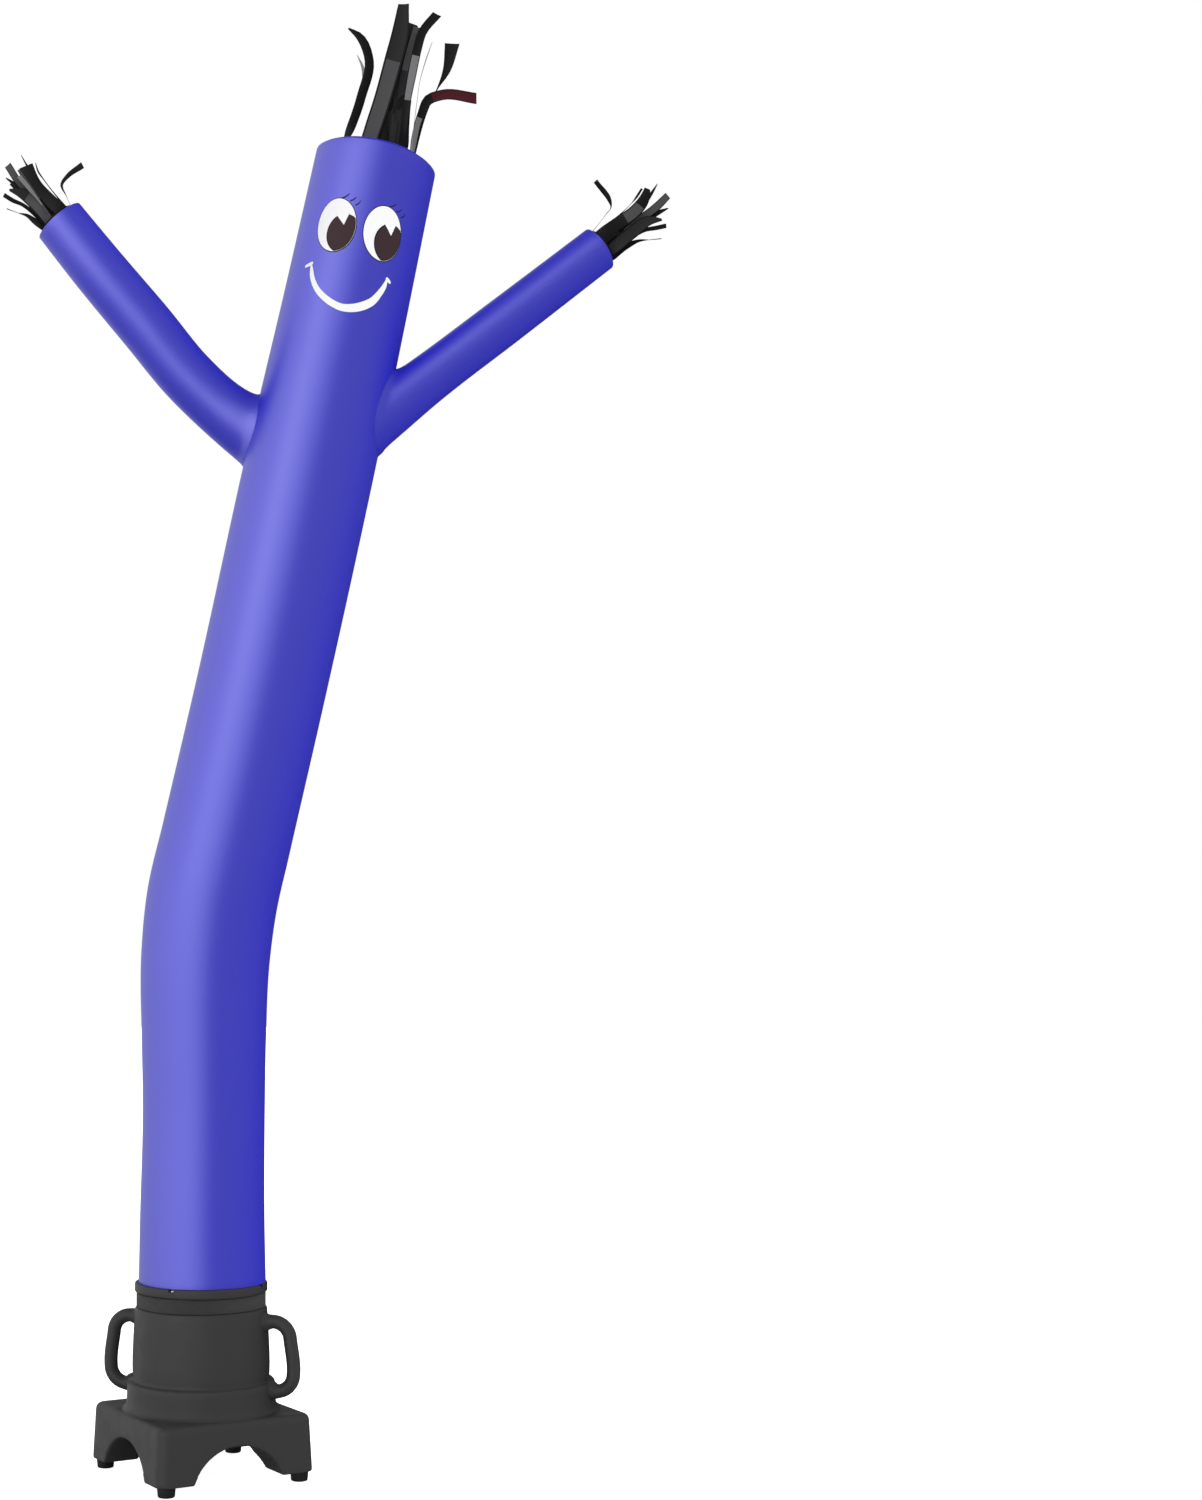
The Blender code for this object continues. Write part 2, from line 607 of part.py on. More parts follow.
def build_control_cover(plastic):
    """Screwed cover: a flange, a deep hood and the shallower switch box under it."""
    face = PAD_FACE + GAP
    cover = place("control_cover", box((-PLATE_HALF, face, PLATE_BOTTOM),
                                       (PLATE_HALF, face + PLATE, PLATE_TOP), 0.0008, 1),
                  plastic, blower)
    for name, half, depth, low, high in COVER_BOXES:
        part = place(name, box((-half, face + PLATE / 3, low), (half, face + depth, high),
                               COVER_EDGE, 3), plastic, blower, cutters)
        boolean(cover, as_cutter(part), "UNION")
    front = face + SWITCH_DEPTH
    well = place("switch_well", box((SWITCH_X - WELL_HALF[0], front - WELL_DEEP,
                                     SWITCH_Z - WELL_HALF[1]),
                                    (SWITCH_X + WELL_HALF[0], front + WELL_DEEP,
                                     SWITCH_Z + WELL_HALF[1])), plastic, blower, cutters)
    boolean(cover, as_cutter(well))


def build_cover_screws(steel):
    middle = (PLATE_BOTTOM + PLATE_TOP) / 2
    for index, (x_sign, z_sign) in enumerate(((-1, 1), (1, 1), (1, -1), (-1, -1))):
        screw = screw_head(f"cover_screw_{index + 1}", steel)
        screw.rotation_euler.x = -math.pi / 2
        screw.location = (x_sign * COVER_SCREW[0], PAD_FACE + PLATE + 2 * GAP,
                          middle + z_sign * COVER_SCREW[1])


def build_switch(plastic, lens):
    """Bezel on the switch box, and the rocker on its upright axis in the window."""
    face = PAD_FACE + GAP + SWITCH_DEPTH + GAP
    bezel = place("switch_bezel", box((SWITCH_X - BEZEL_HALF, face, SWITCH_Z - BEZEL_HALF),
                                      (SWITCH_X + BEZEL_HALF, face + BEZEL_THICK,
                                       SWITCH_Z + BEZEL_HALF), 0.0012, 1), plastic, blower)
    window = place("switch_window", box((SWITCH_X - WINDOW_HALF[0], face - 0.01,
                                         SWITCH_Z - WINDOW_HALF[1]),
                                        (SWITCH_X + WINDOW_HALF[0], face + 0.02,
                                         SWITCH_Z + WINDOW_HALF[1])), plastic, blower, cutters)
    boolean(bezel, as_cutter(window))
    rocker_axis = bpy.data.objects.new("rocker_axis", None)
    parts.objects.link(rocker_axis)
    rocker_axis.parent = blower
    rocker_axis.location = (SWITCH_X, face - 0.0010, SWITCH_Z)
    rocker_axis.rotation_euler.z = math.radians(-ROCKER_REST)
    shape = bmesh.new()
    bmesh.ops.create_cube(shape, size=2.0)
    for vert in shape.verts:
        vert.co = (vert.co.x * ROCKER_HALF[0], vert.co.y * ROCKER_DEPTH / 2,
                   vert.co.z * ROCKER_HALF[1])
        if vert.co.y < 0:
            vert.co.x *= 0.75
    bmesh.ops.bevel(shape, geom=shape.edges, offset=0.0008, segments=1, profile=0.5,
                    affect="EDGES", material=-1)
    place("switch_rocker", mesh_of(shape), lens, rocker_axis)


def build_gland(steel):
    """Cable gland under the switch box: a ribbed ring, a hexagon and a domed cap."""
    top = SWITCH_BOX_BOTTOM - GAP
    turned("gland_ring", ((GLAND_RADIUS, top), (GLAND_RADIUS, top - 0.006),
                          (GLAND_RADIUS * 0.82, top - 0.0062), (0.0035, top - 0.0062),
                          (0.0035, top)), steel, gland_axis, steps=20)
    low = top - 0.0062 - GAP
    nut = place("gland_nut", cylinder(GLAND_RADIUS * 1.08, low - 0.0085, low, 6, rim=0.0006),
                steel, gland_axis)
    cap = place("gland_cap", cylinder(GLAND_RADIUS * 0.62, low - 0.0130, low - 0.0080, 16,
                                      top_radius=GLAND_RADIUS * 0.9, rim=0.0012),
                steel, gland_axis, cutters)
    hole = place("gland_hole", cylinder(0.0035, low - 0.02, low + 0.02, 12), steel, gland_axis,
                 cutters)
    boolean(nut, as_cutter(cap), "UNION")
    boolean(nut, as_cutter(hole))


# ------------------------------------------------------------ placing
def stand_on_origin():
    """Moves the whole object so that the bottom centre of its box is at the origin."""
    bpy.context.view_layer.update()
    graph = bpy.context.evaluated_depsgraph_get()
    corners = []
    for piece in parts.objects:
        if piece.type == "MESH":
            shown = piece.evaluated_get(graph)
            corners += [shown.matrix_world @ vert.co for vert in shown.data.vertices]
    low = [min(corner[axis] for corner in corners) for axis in range(3)]
    high = [max(corner[axis] for corner in corners) for axis in range(3)]
    middle = Vector(((low[0] + high[0]) / 2, (low[1] + high[1]) / 2, low[2]))
    for piece in list(parts.objects) + list(cutters.objects):
        if piece.parent is None and piece is not stand:
            piece.parent = stand
    stand.location = -middle
    bpy.context.view_layer.update()


clear_scene()
parts = new_collection(COLLECTION)
cutters = new_collection("cutters")

stand = bpy.data.objects.new("stand", None)
parts.objects.link(stand)
blower = bpy.data.objects.new("blower_turn", None)
parts.objects.link(blower)
blower.parent = stand
blower.rotation_euler.z = math.radians(BLOWER_TURN)
gland_axis = bpy.data.objects.new("gland_axis", None)
parts.objects.link(gland_axis)
gland_axis.parent = blower
gland_axis.location = (GLAND_X, PAD_FACE + SWITCH_DEPTH * 0.52, 0.0)

blue_cloth = material("blue_cloth", (0.045, 0.038, 0.50), 0.55)
black_ribbon = material("black_ribbon", (0.012, 0.012, 0.013), 0.60)
black_plastic = material("black_plastic", (0.033, 0.033, 0.033), 0.50)
black_tape = material("black_tape", (0.020, 0.020, 0.024), 0.90)
black_rubber = material("black_rubber", (0.020, 0.020, 0.020), 0.75)
bright_steel = material("bright_steel", (0.75, 0.75, 0.74), 0.25, 1.0)
green_lens = material("green_lens", (0.010, 0.150, 0.070), 0.20)

build_body(blue_cloth)
build_arms(blue_cloth)
build_ends(blue_cloth, black_ribbon)
build_housing(black_plastic)
build_base(black_plastic)
build_feet(black_rubber)
build_handles(black_plastic)
build_ring(black_plastic, bright_steel)
build_guard(bright_steel)
build_band(black_tape)
build_control_cover(black_plastic)
build_cover_screws(bright_steel)
build_switch(black_plastic, green_lens)
build_gland(bright_steel)
stand_on_origin()
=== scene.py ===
"""Looks of the inflatable air dancer: cloth figure, printed face, streamers and blower.

Metres, +Z up. The figure faces -Y.
"""
import json
import math

import bmesh
import bpy
import numpy as np
from mathutils import Matrix, Vector
from mathutils.bvhtree import BVHTree

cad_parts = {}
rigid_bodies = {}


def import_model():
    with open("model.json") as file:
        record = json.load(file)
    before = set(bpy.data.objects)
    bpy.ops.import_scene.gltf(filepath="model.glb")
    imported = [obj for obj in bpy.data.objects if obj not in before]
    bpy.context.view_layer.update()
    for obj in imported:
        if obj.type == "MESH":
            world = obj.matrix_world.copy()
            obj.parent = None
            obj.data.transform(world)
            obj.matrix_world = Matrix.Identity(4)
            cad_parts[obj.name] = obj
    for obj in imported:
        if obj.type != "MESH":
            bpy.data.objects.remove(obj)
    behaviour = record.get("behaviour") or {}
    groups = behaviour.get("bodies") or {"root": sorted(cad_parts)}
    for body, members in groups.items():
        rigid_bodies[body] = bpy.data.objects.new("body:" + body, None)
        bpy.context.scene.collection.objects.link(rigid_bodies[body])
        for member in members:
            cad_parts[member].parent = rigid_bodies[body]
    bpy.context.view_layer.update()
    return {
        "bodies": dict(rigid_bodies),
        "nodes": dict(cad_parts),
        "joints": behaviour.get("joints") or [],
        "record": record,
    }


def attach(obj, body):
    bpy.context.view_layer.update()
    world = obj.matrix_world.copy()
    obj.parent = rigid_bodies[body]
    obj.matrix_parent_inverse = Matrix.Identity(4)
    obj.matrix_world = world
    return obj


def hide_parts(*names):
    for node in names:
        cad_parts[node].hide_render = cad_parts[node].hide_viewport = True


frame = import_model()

# ---------------------------------------------------------------- studio
# A white floor in a white room. A wide bright wall at the left gives the long soft
# highlight, the right is darker, and a soft lamp at the front left gives the shadow.
AXIS_X = -0.2448          # the blower's upright axis, which the figure is laid out from


def set_inputs(node, values):
    """Puts values in a node's inputs, each by its label or its number."""
    for label, value in values.items():
        node.inputs[label].default_value = value


def node_of(tree, kind, values=None, **settings):
    """A shader node with its settings made and values in its inputs."""
    made = tree.nodes.new(kind)
    for key, value in settings.items():
        setattr(made, key, value)
    set_inputs(made, values or {})
    return made


def link(start, output, end, entry):
    """Joins a node's output to another node's input."""
    start.id_data.links.new(start.outputs[output], end.inputs[entry])


def new_material(name):
    """A material that works by nodes, with its shader."""
    made = bpy.data.materials.new(name)
    made.use_nodes = True
    return made, made.node_tree.nodes["Principled BSDF"]


camera_data = bpy.data.cameras.new("camera")
camera_data.lens = 52.75
camera_data.shift_x = 0.2
camera_data.shift_y = 0.145
camera = bpy.data.objects.new("camera", camera_data)
bpy.context.scene.collection.objects.link(camera)
camera.location = (AXIS_X, -4.0, 0.92)
camera.rotation_euler = (math.radians(90), 0.0, math.radians(-2.6))
bpy.context.scene.camera = camera
bpy.context.scene.view_settings.view_transform = "Standard"

floor_shape = bmesh.new()
bmesh.ops.create_grid(floor_shape, x_segments=1, y_segments=1, size=30.0)
floor_mesh = bpy.data.meshes.new("floor")
floor_shape.to_mesh(floor_mesh)
floor_shape.free()
floor = bpy.data.objects.new("floor", floor_mesh)
bpy.context.scene.collection.objects.link(floor)
paper, shader = new_material("white_paper")
tree = paper.node_tree
set_inputs(shader, {"Base Color": (0.80, 0.80, 0.80, 1.0), "Roughness": 0.9,
                    "Specular IOR Level": 0.0, "Emission Color": (1.0, 1.0, 1.0, 1.0)})
ray = node_of(tree, "ShaderNodeLightPath")
glow = node_of(tree, "ShaderNodeMath", {1: 0.90}, operation="MULTIPLY")
link(ray, "Is Camera Ray", glow, 0)
link(glow, "Value", shader, "Emission Strength")
floor_mesh.materials.append(paper)
floor.visible_glossy = False

world = bpy.data.worlds.new("white_room")
world.use_nodes = True
bpy.context.scene.world = world
tree = world.node_tree
background = tree.nodes["Background"]
room_place = node_of(tree, "ShaderNodeTexCoord")
room_split = node_of(tree, "ShaderNodeSeparateXYZ")
link(room_place, "Generated", room_split, "Vector")
wall = node_of(tree, "ShaderNodeMapRange", {"From Min": 0.30, "From Max": -0.40, "To Min": 0.012,
                                            "To Max": 1.0}, interpolation_type="SMOOTHSTEP")
link(room_split, "X", wall, "Value")
wall_end = node_of(tree, "ShaderNodeMapRange", {"From Min": -0.70, "From Max": 0.90, "To Min": 2.45,
                                                "To Max": 0.75})
link(room_split, "Y", wall_end, "Value")
wall_light = node_of(tree, "ShaderNodeMath", operation="MULTIPLY")
link(wall, "Result", wall_light, 0)
link(wall_end, "Result", wall_light, 1)
for low, high in ((-0.50, -0.14), (0.86, 0.56)):
    wall_edge = node_of(tree, "ShaderNodeMapRange", {"From Min": low, "From Max": high,
                                                     "To Min": 0.05},
                        interpolation_type="SMOOTHSTEP")
    link(room_split, "Z", wall_edge, "Value")
    cut_light = node_of(tree, "ShaderNodeMath", operation="MULTIPLY")
    link(wall_light, "Value", cut_light, 0)
    link(wall_edge, "Result", cut_light, 1)
    wall_light = cut_light
room_ray = node_of(tree, "ShaderNodeLightPath")
gloss_mix = node_of(tree, "ShaderNodeMix", data_type="FLOAT")
soft_side = node_of(tree, "ShaderNodeVectorMath", {1: (1.0, -0.10, 0.0)}, operation="DOT_PRODUCT")
link(room_place, "Generated", soft_side, 0)
soft_light = node_of(tree, "ShaderNodeMapRange", {"From Min": -0.90, "From Max": 0.90,
                                                  "To Min": 0.40, "To Max": 1.64})
link(soft_side, "Value", soft_light, "Value")
link(soft_light, "Result", gloss_mix, "A")
link(room_ray, "Is Glossy Ray", gloss_mix, "Factor")
link(wall_light, "Value", gloss_mix, "B")
seen_mix = node_of(tree, "ShaderNodeMix", {"B": 1.0}, data_type="FLOAT")
link(room_ray, "Is Camera Ray", seen_mix, "Factor")
link(gloss_mix, "Result", seen_mix, "A")
link(seen_mix, "Result", background, "Strength")
set_inputs(background, {"Color": (1.0, 1.0, 1.0, 1.0)})
world.cycles.sampling_method = "NONE"

lamp_data = bpy.data.lights.new("key_lamp", "AREA")
lamp_data.shape = "RECTANGLE"
lamp_data.size = 1.6
lamp_data.size_y = 2.4
lamp_data.energy = 14.0
lamp = bpy.data.objects.new("key_lamp", lamp_data)
bpy.context.scene.collection.objects.link(lamp)
lamp.location = (-3.0, -3.2, 3.4)
lamp_aim = Vector((-0.1, 0.0, 1.1)) - Vector(lamp.location)
lamp.rotation_euler = lamp_aim.to_track_quat("-Z", "Y").to_euler()

# ---------------------------------------------------------------- body tube
# One long sleeve of satin-faced nylon, open at the blower. Air holds it out round and
# smooth. Its lower hem stands on the blower's cap ring.
BODY_ROWS = (  # x from the blower's axis, y, z, outer diameter
    (0.002, 0.0, 0.3503, 0.231),
    (0.002, 0.0, 0.450, 0.227),
    (0.005, 0.0, 0.672, 0.222),
    (0.005, 0.0, 0.790, 0.226),
    (0.008, 0.0, 0.939, 0.234),
    (0.020, 0.0, 1.043, 0.238),
    (0.045, 0.0, 1.152, 0.237),
    (0.104, 0.0, 1.407, 0.236),
    (0.200, 0.0, 1.844, 0.236),
    (0.262, 0.0, 2.124, 0.228),
    (0.318, 0.0, 2.386, 0.221),
)


def smooth_rows(rows, count):
    """Rows resampled at even steps on one smooth curve through them."""
    rows = np.array(rows, dtype=float)
    steps = np.linalg.norm(np.diff(rows[:, :3], axis=0), axis=1)
    along = np.concatenate(([0.0], np.cumsum(steps)))
    slopes = np.gradient(rows, along, axis=0)
    at = np.linspace(0.0, along[-1], count)
    first = np.clip(np.searchsorted(along, at, side="right") - 1, 0, len(rows) - 2)
    width = (along[first + 1] - along[first])[:, None]
    t = (at - along[first])[:, None] / width
    return (rows[first] * (2 * t**3 - 3 * t**2 + 1)
            + slopes[first] * width * (t**3 - 2 * t**2 + t)
            + rows[first + 1] * (3 * t**2 - 2 * t**3)
            + slopes[first + 1] * width * (t**3 - t**2))


def ring_frames(rows, count):
    """Matrix for each ring: X to the figure's side, Y to its back, Z along, sized to fit."""
    path = smooth_rows(rows, count)
    frames = []
    for index, row in enumerate(path):
        before = Vector(path[max(index - 1, 0), :3])
        after = Vector(path[min(index + 1, count - 1), :3])
        along = (after - before).normalized()
        side = Vector((along.z, 0.0, -along.x)).normalized()
        back = along.cross(side)
        turn = Matrix((side, back, along)).transposed().to_4x4()
        frames.append(Matrix.Translation(row[:3]) @ turn @ Matrix.Scale(row[3] / 2, 4))
    return frames


def sleeve_shape(frames, sides):
    """Open sleeve extruded ring by ring, with UVs in metres along and round it."""
    shape = bmesh.new()
    bmesh.ops.create_circle(shape, segments=sides, radius=1.0, matrix=frames[0])
    edges = list(shape.edges)
    ring_of = {vert: 0 for vert in shape.verts}
    for index in range(1, len(frames)):
        swept = bmesh.ops.extrude_edge_only(shape, edges=edges)["geom"]
        verts = [part for part in swept if isinstance(part, bmesh.types.BMVert)]
        edges = [part for part in swept if isinstance(part, bmesh.types.BMEdge)
                 and all(vert in ring_of or vert in verts for vert in part.verts)
                 and not any(vert in ring_of for vert in part.verts)]
        bmesh.ops.transform(shape, matrix=frames[index] @ frames[index - 1].inverted(),
                            verts=verts)
        for vert in verts:
            ring_of[vert] = index
    reach = [0.0]
    for before, after in zip(frames, frames[1:]):
        reach.append(reach[-1] + (after.translation - before.translation).length)
    girth = 2 * math.pi * sum(frame.median_scale for frame in frames) / len(frames)
    cloth_uv = shape.loops.layers.uv.new("cloth")
    for face in shape.faces:
        turns = []
        for loop in face.loops:
            spot = frames[ring_of[loop.vert]].inverted() @ loop.vert.co
            turns.append(math.atan2(spot.x, -spot.y) / (2 * math.pi) + 0.5)
        if max(turns) - min(turns) > 0.5:
            turns = [turn + 1.0 if turn < 0.5 else turn for turn in turns]
        for loop, turn in zip(face.loops, turns):
            loop[cloth_uv].uv = (turn * girth, reach[ring_of[loop.vert]])
    middle = frames[len(frames) // 2]
    sample = min(shape.faces,
                 key=lambda f: (f.calc_center_median() - middle.translation).length)
    if sample.normal.dot(sample.calc_center_median() - middle.translation) < 0:
        bmesh.ops.reverse_faces(shape, faces=list(shape.faces))
    return shape


def finished_piece(name, shape, material, body, nodes, sharp=40.0):
    """A shape as a finished piece that rides a body and stands for the named solids."""
    mesh = bpy.data.meshes.new(name)
    shape.to_mesh(mesh)
    shape.free()
    mesh.materials.append(material)
    mesh.shade_smooth()
    mesh.set_sharp_from_angle(angle=math.radians(sharp))
    piece = bpy.data.objects.new(name, mesh)
    bpy.context.scene.collection.objects.link(piece)
    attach(piece, body)
    if nodes:
        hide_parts(*nodes)
    return piece


def thicken(piece, thickness, offset=-1.0):
    """Gives a sheet its thickness, inwards from the face that shows."""
    wall = piece.modifiers.new("thickness", "SOLIDIFY")
    wall.thickness = thickness
    wall.offset = offset
    wall.use_even_offset = True
    shading = piece.modifiers.new("even_shading", "WEIGHTED_NORMAL")
    shading.keep_sharp = True


def laid_grid(shape, lanes, rows, place_of):
    """Adds a grid whose corner (lane, row) a rule puts in its place; gives the corners."""
    corners = {}
    made = bmesh.ops.create_grid(shape, x_segments=lanes, y_segments=rows, size=1.0)["verts"]
    for vert in made:
        corners[vert] = (round((vert.co.x + 1) / 2 * lanes), round((vert.co.y + 1) / 2 * rows))
    for vert, (lane, row) in corners.items():
        vert.co = place_of(lane, row)
    return corners


thread_grid = bpy.data.node_groups.new("thread_grid", "ShaderNodeTree")
for label, kind, way in (("Place", "NodeSocketVector", "INPUT"),
                         ("Pitch Across", "NodeSocketFloat", "INPUT"),
                         ("Pitch Along", "NodeSocketFloat", "INPUT"),
                         ("Height", "NodeSocketFloat", "OUTPUT")):
    thread_grid.interface.new_socket(label, in_out=way, socket_type=kind)
grid_in = node_of(thread_grid, "NodeGroupInput")
grid_out = node_of(thread_grid, "NodeGroupOutput")
grid_split = node_of(thread_grid, "ShaderNodeSeparateXYZ")
link(grid_in, "Place", grid_split, "Vector")
grid_height = node_of(thread_grid, "ShaderNodeMath", operation="MULTIPLY")
link(grid_height, "Value", grid_out, "Height")
for index, (axis, pitch) in enumerate((("X", "Pitch Across"), ("Y", "Pitch Along"))):
    pitches = node_of(thread_grid, "ShaderNodeMath", operation="DIVIDE")
    turns = node_of(thread_grid, "ShaderNodeMath", {1: 2 * math.pi}, operation="MULTIPLY")
    wave = node_of(thread_grid, "ShaderNodeMath", operation="SINE")
    link(grid_split, axis, pitches, 0)
    link(grid_in, pitch, pitches, 1)
    link(pitches, "Value", turns, 0)
    link(turns, "Value", wave, 0)
    link(wave, "Value", grid_height, index)

blue_cloth, shader = new_material("blue_satin_cloth")
tree = blue_cloth.node_tree
set_inputs(shader, {"Base Color": (0.0122, 0.0117, 0.572, 1.0), "Roughness": 0.40,
                    "Specular IOR Level": 0.62, "IOR": 1.8})
thread_uv = node_of(tree, "ShaderNodeUVMap", uv_map="cloth")
weave = node_of(tree, "ShaderNodeGroup", {"Pitch Across": 0.0009, "Pitch Along": 0.0008},
                node_tree=thread_grid)
link(thread_uv, "UV", weave, "Place")
weave_bump = node_of(tree, "ShaderNodeBump", {"Strength": 0.10, "Distance": 0.00015})
link(weave, "Height", weave_bump, "Height")
ripple = node_of(tree, "ShaderNodeTexNoise", {"Scale": 3.2, "Detail": 1.5})
link(thread_uv, "UV", ripple, "Vector")
ripple_bump = node_of(tree, "ShaderNodeBump", {"Strength": 0.10, "Distance": 0.004})
link(ripple, "Fac", ripple_bump, "Height")
link(weave_bump, "Normal", ripple_bump, "Normal")
link(ripple_bump, "Normal", shader, "Normal")

BODY_SIDES = 72
body_frames = [Matrix.Translation((AXIS_X, 0.0, 0.0)) @ ring
               for ring in ring_frames(BODY_ROWS, 150)]
body_shape = sleeve_shape(body_frames, BODY_SIDES)
body_surface = BVHTree.FromBMesh(body_shape)
body_tube = finished_piece("body_tube", body_shape, blue_cloth, "dancer",
                           ["body_tube"])
thicken(body_tube, 0.0008)

# ---------------------------------------------------------------- arms
# Two tapered sleeves of the same cloth, sewn to the body's sides. Each ends on the body's
# face, where its edge is turned out a little along the seam.
ARMS = {  # name: rows of x from the blower's axis, y, z, outer diameter, body end first
    "arm_left": (
        (0.150, 0.030, 1.868, 0.128),
        (0.091, 0.030, 1.906, 0.118),
        (0.036, 0.028, 1.945, 0.105),
        (-0.022, 0.024, 1.998, 0.102),
        (-0.100, 0.014, 2.089, 0.102),
        (-0.187, 0.004, 2.189, 0.099),
        (-0.256, 0.000, 2.273, 0.095),
    ),
    "arm_right": (
        (0.250, -0.012, 1.866, 0.112),
        (0.330, -0.012, 1.927, 0.100),
        (0.400, -0.010, 1.982, 0.090),
        (0.560, -0.004, 2.106, 0.086),
        (0.728, 0.000, 2.237, 0.083),
    ),
}
ARM_RINGS = 46
ARM_SIDES = 40
SEAM_FLARE = 0.007


def sewn_to(frames, sides, surface):
    """Sleeve whose first ring lies on a surface that the sleeve comes out of."""
    shape = sleeve_shape(frames, sides)
    shape.verts.ensure_lookup_table()
    count = len(frames)
    for side in range(sides):
        line = [shape.verts[index * sides + side] for index in range(count)]
        places = [vert.co.copy() for vert in line]
        met = places[0]
        rest = places
        for index in range(count - 1, 0, -1):
            step = places[index - 1] - places[index]
            hit = surface.ray_cast(places[index], step.normalized(), step.length)[0]
            if hit is not None:
                met = hit
                rest = [hit] + places[index:]
                break
        lengths = np.cumsum([0.0] + [(b - a).length for a, b in zip(rest, rest[1:])])
        for index, vert in enumerate(line):
            at = lengths[-1] * (index / (count - 1)) ** 1.15
            slot = min(int(np.searchsorted(lengths, at, side="right")) - 1, len(rest) - 2)
            share = (at - lengths[slot]) / (lengths[slot + 1] - lengths[slot])
            vert.co = rest[slot].lerp(rest[slot + 1], min(share, 1.0))
        axis = (frames[12].translation - frames[4].translation).normalized()
        outward = (met - frames[6].translation)
        outward = (outward - axis * outward.dot(axis)).normalized()
        for index, share in ((0, 1.0), (1, 0.42), (2, 0.14), (3, 0.04)):
            line[index].co += outward * SEAM_FLARE * share
        near = surface.find_nearest(line[0].co)
        line[0].co = near[0] + near[1] * 0.0003
    return shape


arm_frames = {}
for name, rows in ARMS.items():
    arm_frames[name] = [Matrix.Translation((AXIS_X, 0.0, 0.0)) @ ring
                        for ring in ring_frames(rows, ARM_RINGS)]
    arm_shape = sewn_to(arm_frames[name], ARM_SIDES, body_surface)
    arm = finished_piece(name, arm_shape, blue_cloth, "dancer", [name], sharp=80.0)
    thicken(arm, 0.0008)

# ---------------------------------------------------------------- end panels
# Round panels of the same cloth that close the head and the hands, each sewn inside the
# rim and domed by the air, with a round vent in the middle.
END_PANELS = (  # name, frame, rim radius, vent radius, dome height, sides
    ("crown_panel", body_frames[-1], 0.1089, 0.068, 0.014, BODY_SIDES),
    ("hand_left_panel", arm_frames["arm_left"][-1], 0.0460, 0.0335, 0.003, ARM_SIDES),
    ("hand_right_panel", arm_frames["arm_right"][-1], 0.0400, 0.0335, 0.003, ARM_SIDES),
)
for name, end, rim, vent, dome, sides in END_PANELS:
    place = Matrix.Translation(end.translation) @ end.to_3x3().normalized().to_4x4()
    panel_shape = bmesh.new()
    bmesh.ops.create_circle(panel_shape, segments=sides, radius=rim,
                            matrix=Matrix.Translation((0, 0, -0.006)))
    edges = list(panel_shape.edges)
    for radius, height in ((rim, 0.0), (rim * 0.93 + vent * 0.07, dome * 0.25),
                           (rim * 0.66 + vent * 0.34, dome * 0.68),
                           (rim * 0.33 + vent * 0.67, dome * 0.92), (vent, dome)):
        swept = bmesh.ops.extrude_edge_only(panel_shape, edges=edges)["geom"]
        verts = [part for part in swept if isinstance(part, bmesh.types.BMVert)]
        edges = [part for part in swept if isinstance(part, bmesh.types.BMEdge)
                 and all(vert in verts for vert in part.verts)]
        for vert in verts:
            flat = Vector((vert.co.x, vert.co.y, 0.0)).normalized() * radius
            vert.co = (flat.x, flat.y, height)
    cloth_uv = panel_shape.loops.layers.uv.new("cloth")
    for face in panel_shape.faces:
        for loop in face.loops:
            loop[cloth_uv].uv = (loop.vert.co.x, loop.vert.co.y)
    if sum(face.normal.z for face in panel_shape.faces) < 0:
        bmesh.ops.reverse_faces(panel_shape, faces=list(panel_shape.faces))
    bmesh.ops.transform(panel_shape, matrix=place, verts=panel_shape.verts)
    panel = finished_piece(name, panel_shape, blue_cloth, "dancer", [name])
    thicken(panel, 0.0008)

# ---------------------------------------------------------------- printed face
# Eyes, lashes and a smile printed on the front of the head. Each colour is a thin skin
# that lies on the cloth's curve, 0.3 mm over the one under it.
FACE_TURN = -0.0042       # the face's middle from the figure's front, metres round the tube
EYE_DOWN = 0.1588         # eye line below the head's end, along the tube
EYE_APART = 0.0438        # eye centre from the face's middle
EYE_RISE = 0.0012         # the right eye's centre over the eye line, the left one's under it
EYE_HALF = (0.0366, 0.0483)
EYE_LEAN = 7.0            # degrees that an eye's oval leans to the left of the head's axis
EYE_LINE = 0.0014
PUPIL_HALF = (0.0316, 0.0360)
PUPIL_OFF = (0.0154, -0.0163)
PUPIL_LINE = 0.0016
LASH_WIDTHS = (0.0022, 0.0020, 0.0012)   # at its start, middle and end
PICTURE = (1202, 1500)    # the camera's picture, across and down, in its own steps
PICTURE_STEP = 0.00182    # a step of the picture at the figure
FACE_DRAWING = (285, 150, 1411 / 180)   # left, top and zoom of the face's drawing in the picture
EYE_CENTRES = ((400, 587), (770, 656))  # across and down on the face's drawing
GLINT = (  # across and down on the drawing from an eye's centre, width there
    (60, 8, 3), (58, -40, 56), (56, -88, 112),
)
LASHES = (  # start, middle and end of each lash, across and down from an eye's centre
    ((45, -210), (80, -220), (105, -238)),
    ((106, -177), (135, -188), (152, -204)),
    ((142, -138), (168, -150), (182, -170)),
)
SMILE = (  # across and down on the face's drawing, stroke width there
    (207, 896, 30), (215, 1000, 38), (245, 1080, 42), (305, 1152, 48), (375, 1203, 52),
    (440, 1232, 56), (520, 1239, 62), (610, 1222, 64), (685, 1185, 58), (740, 1125, 48),
    (782, 1060, 38), (798, 1012, 30),
)
SMILE_TICKS = (
    ((158, 918, 20), (190, 900, 28), (222, 884, 24)),
    ((792, 1002, 22), (808, 1024, 28), (825, 1046, 18)),
)
DISC_SIDES = 64
DISC_RINGS = 8
HEAD_END = len(body_frames) - 1
body_reach = [0.0]
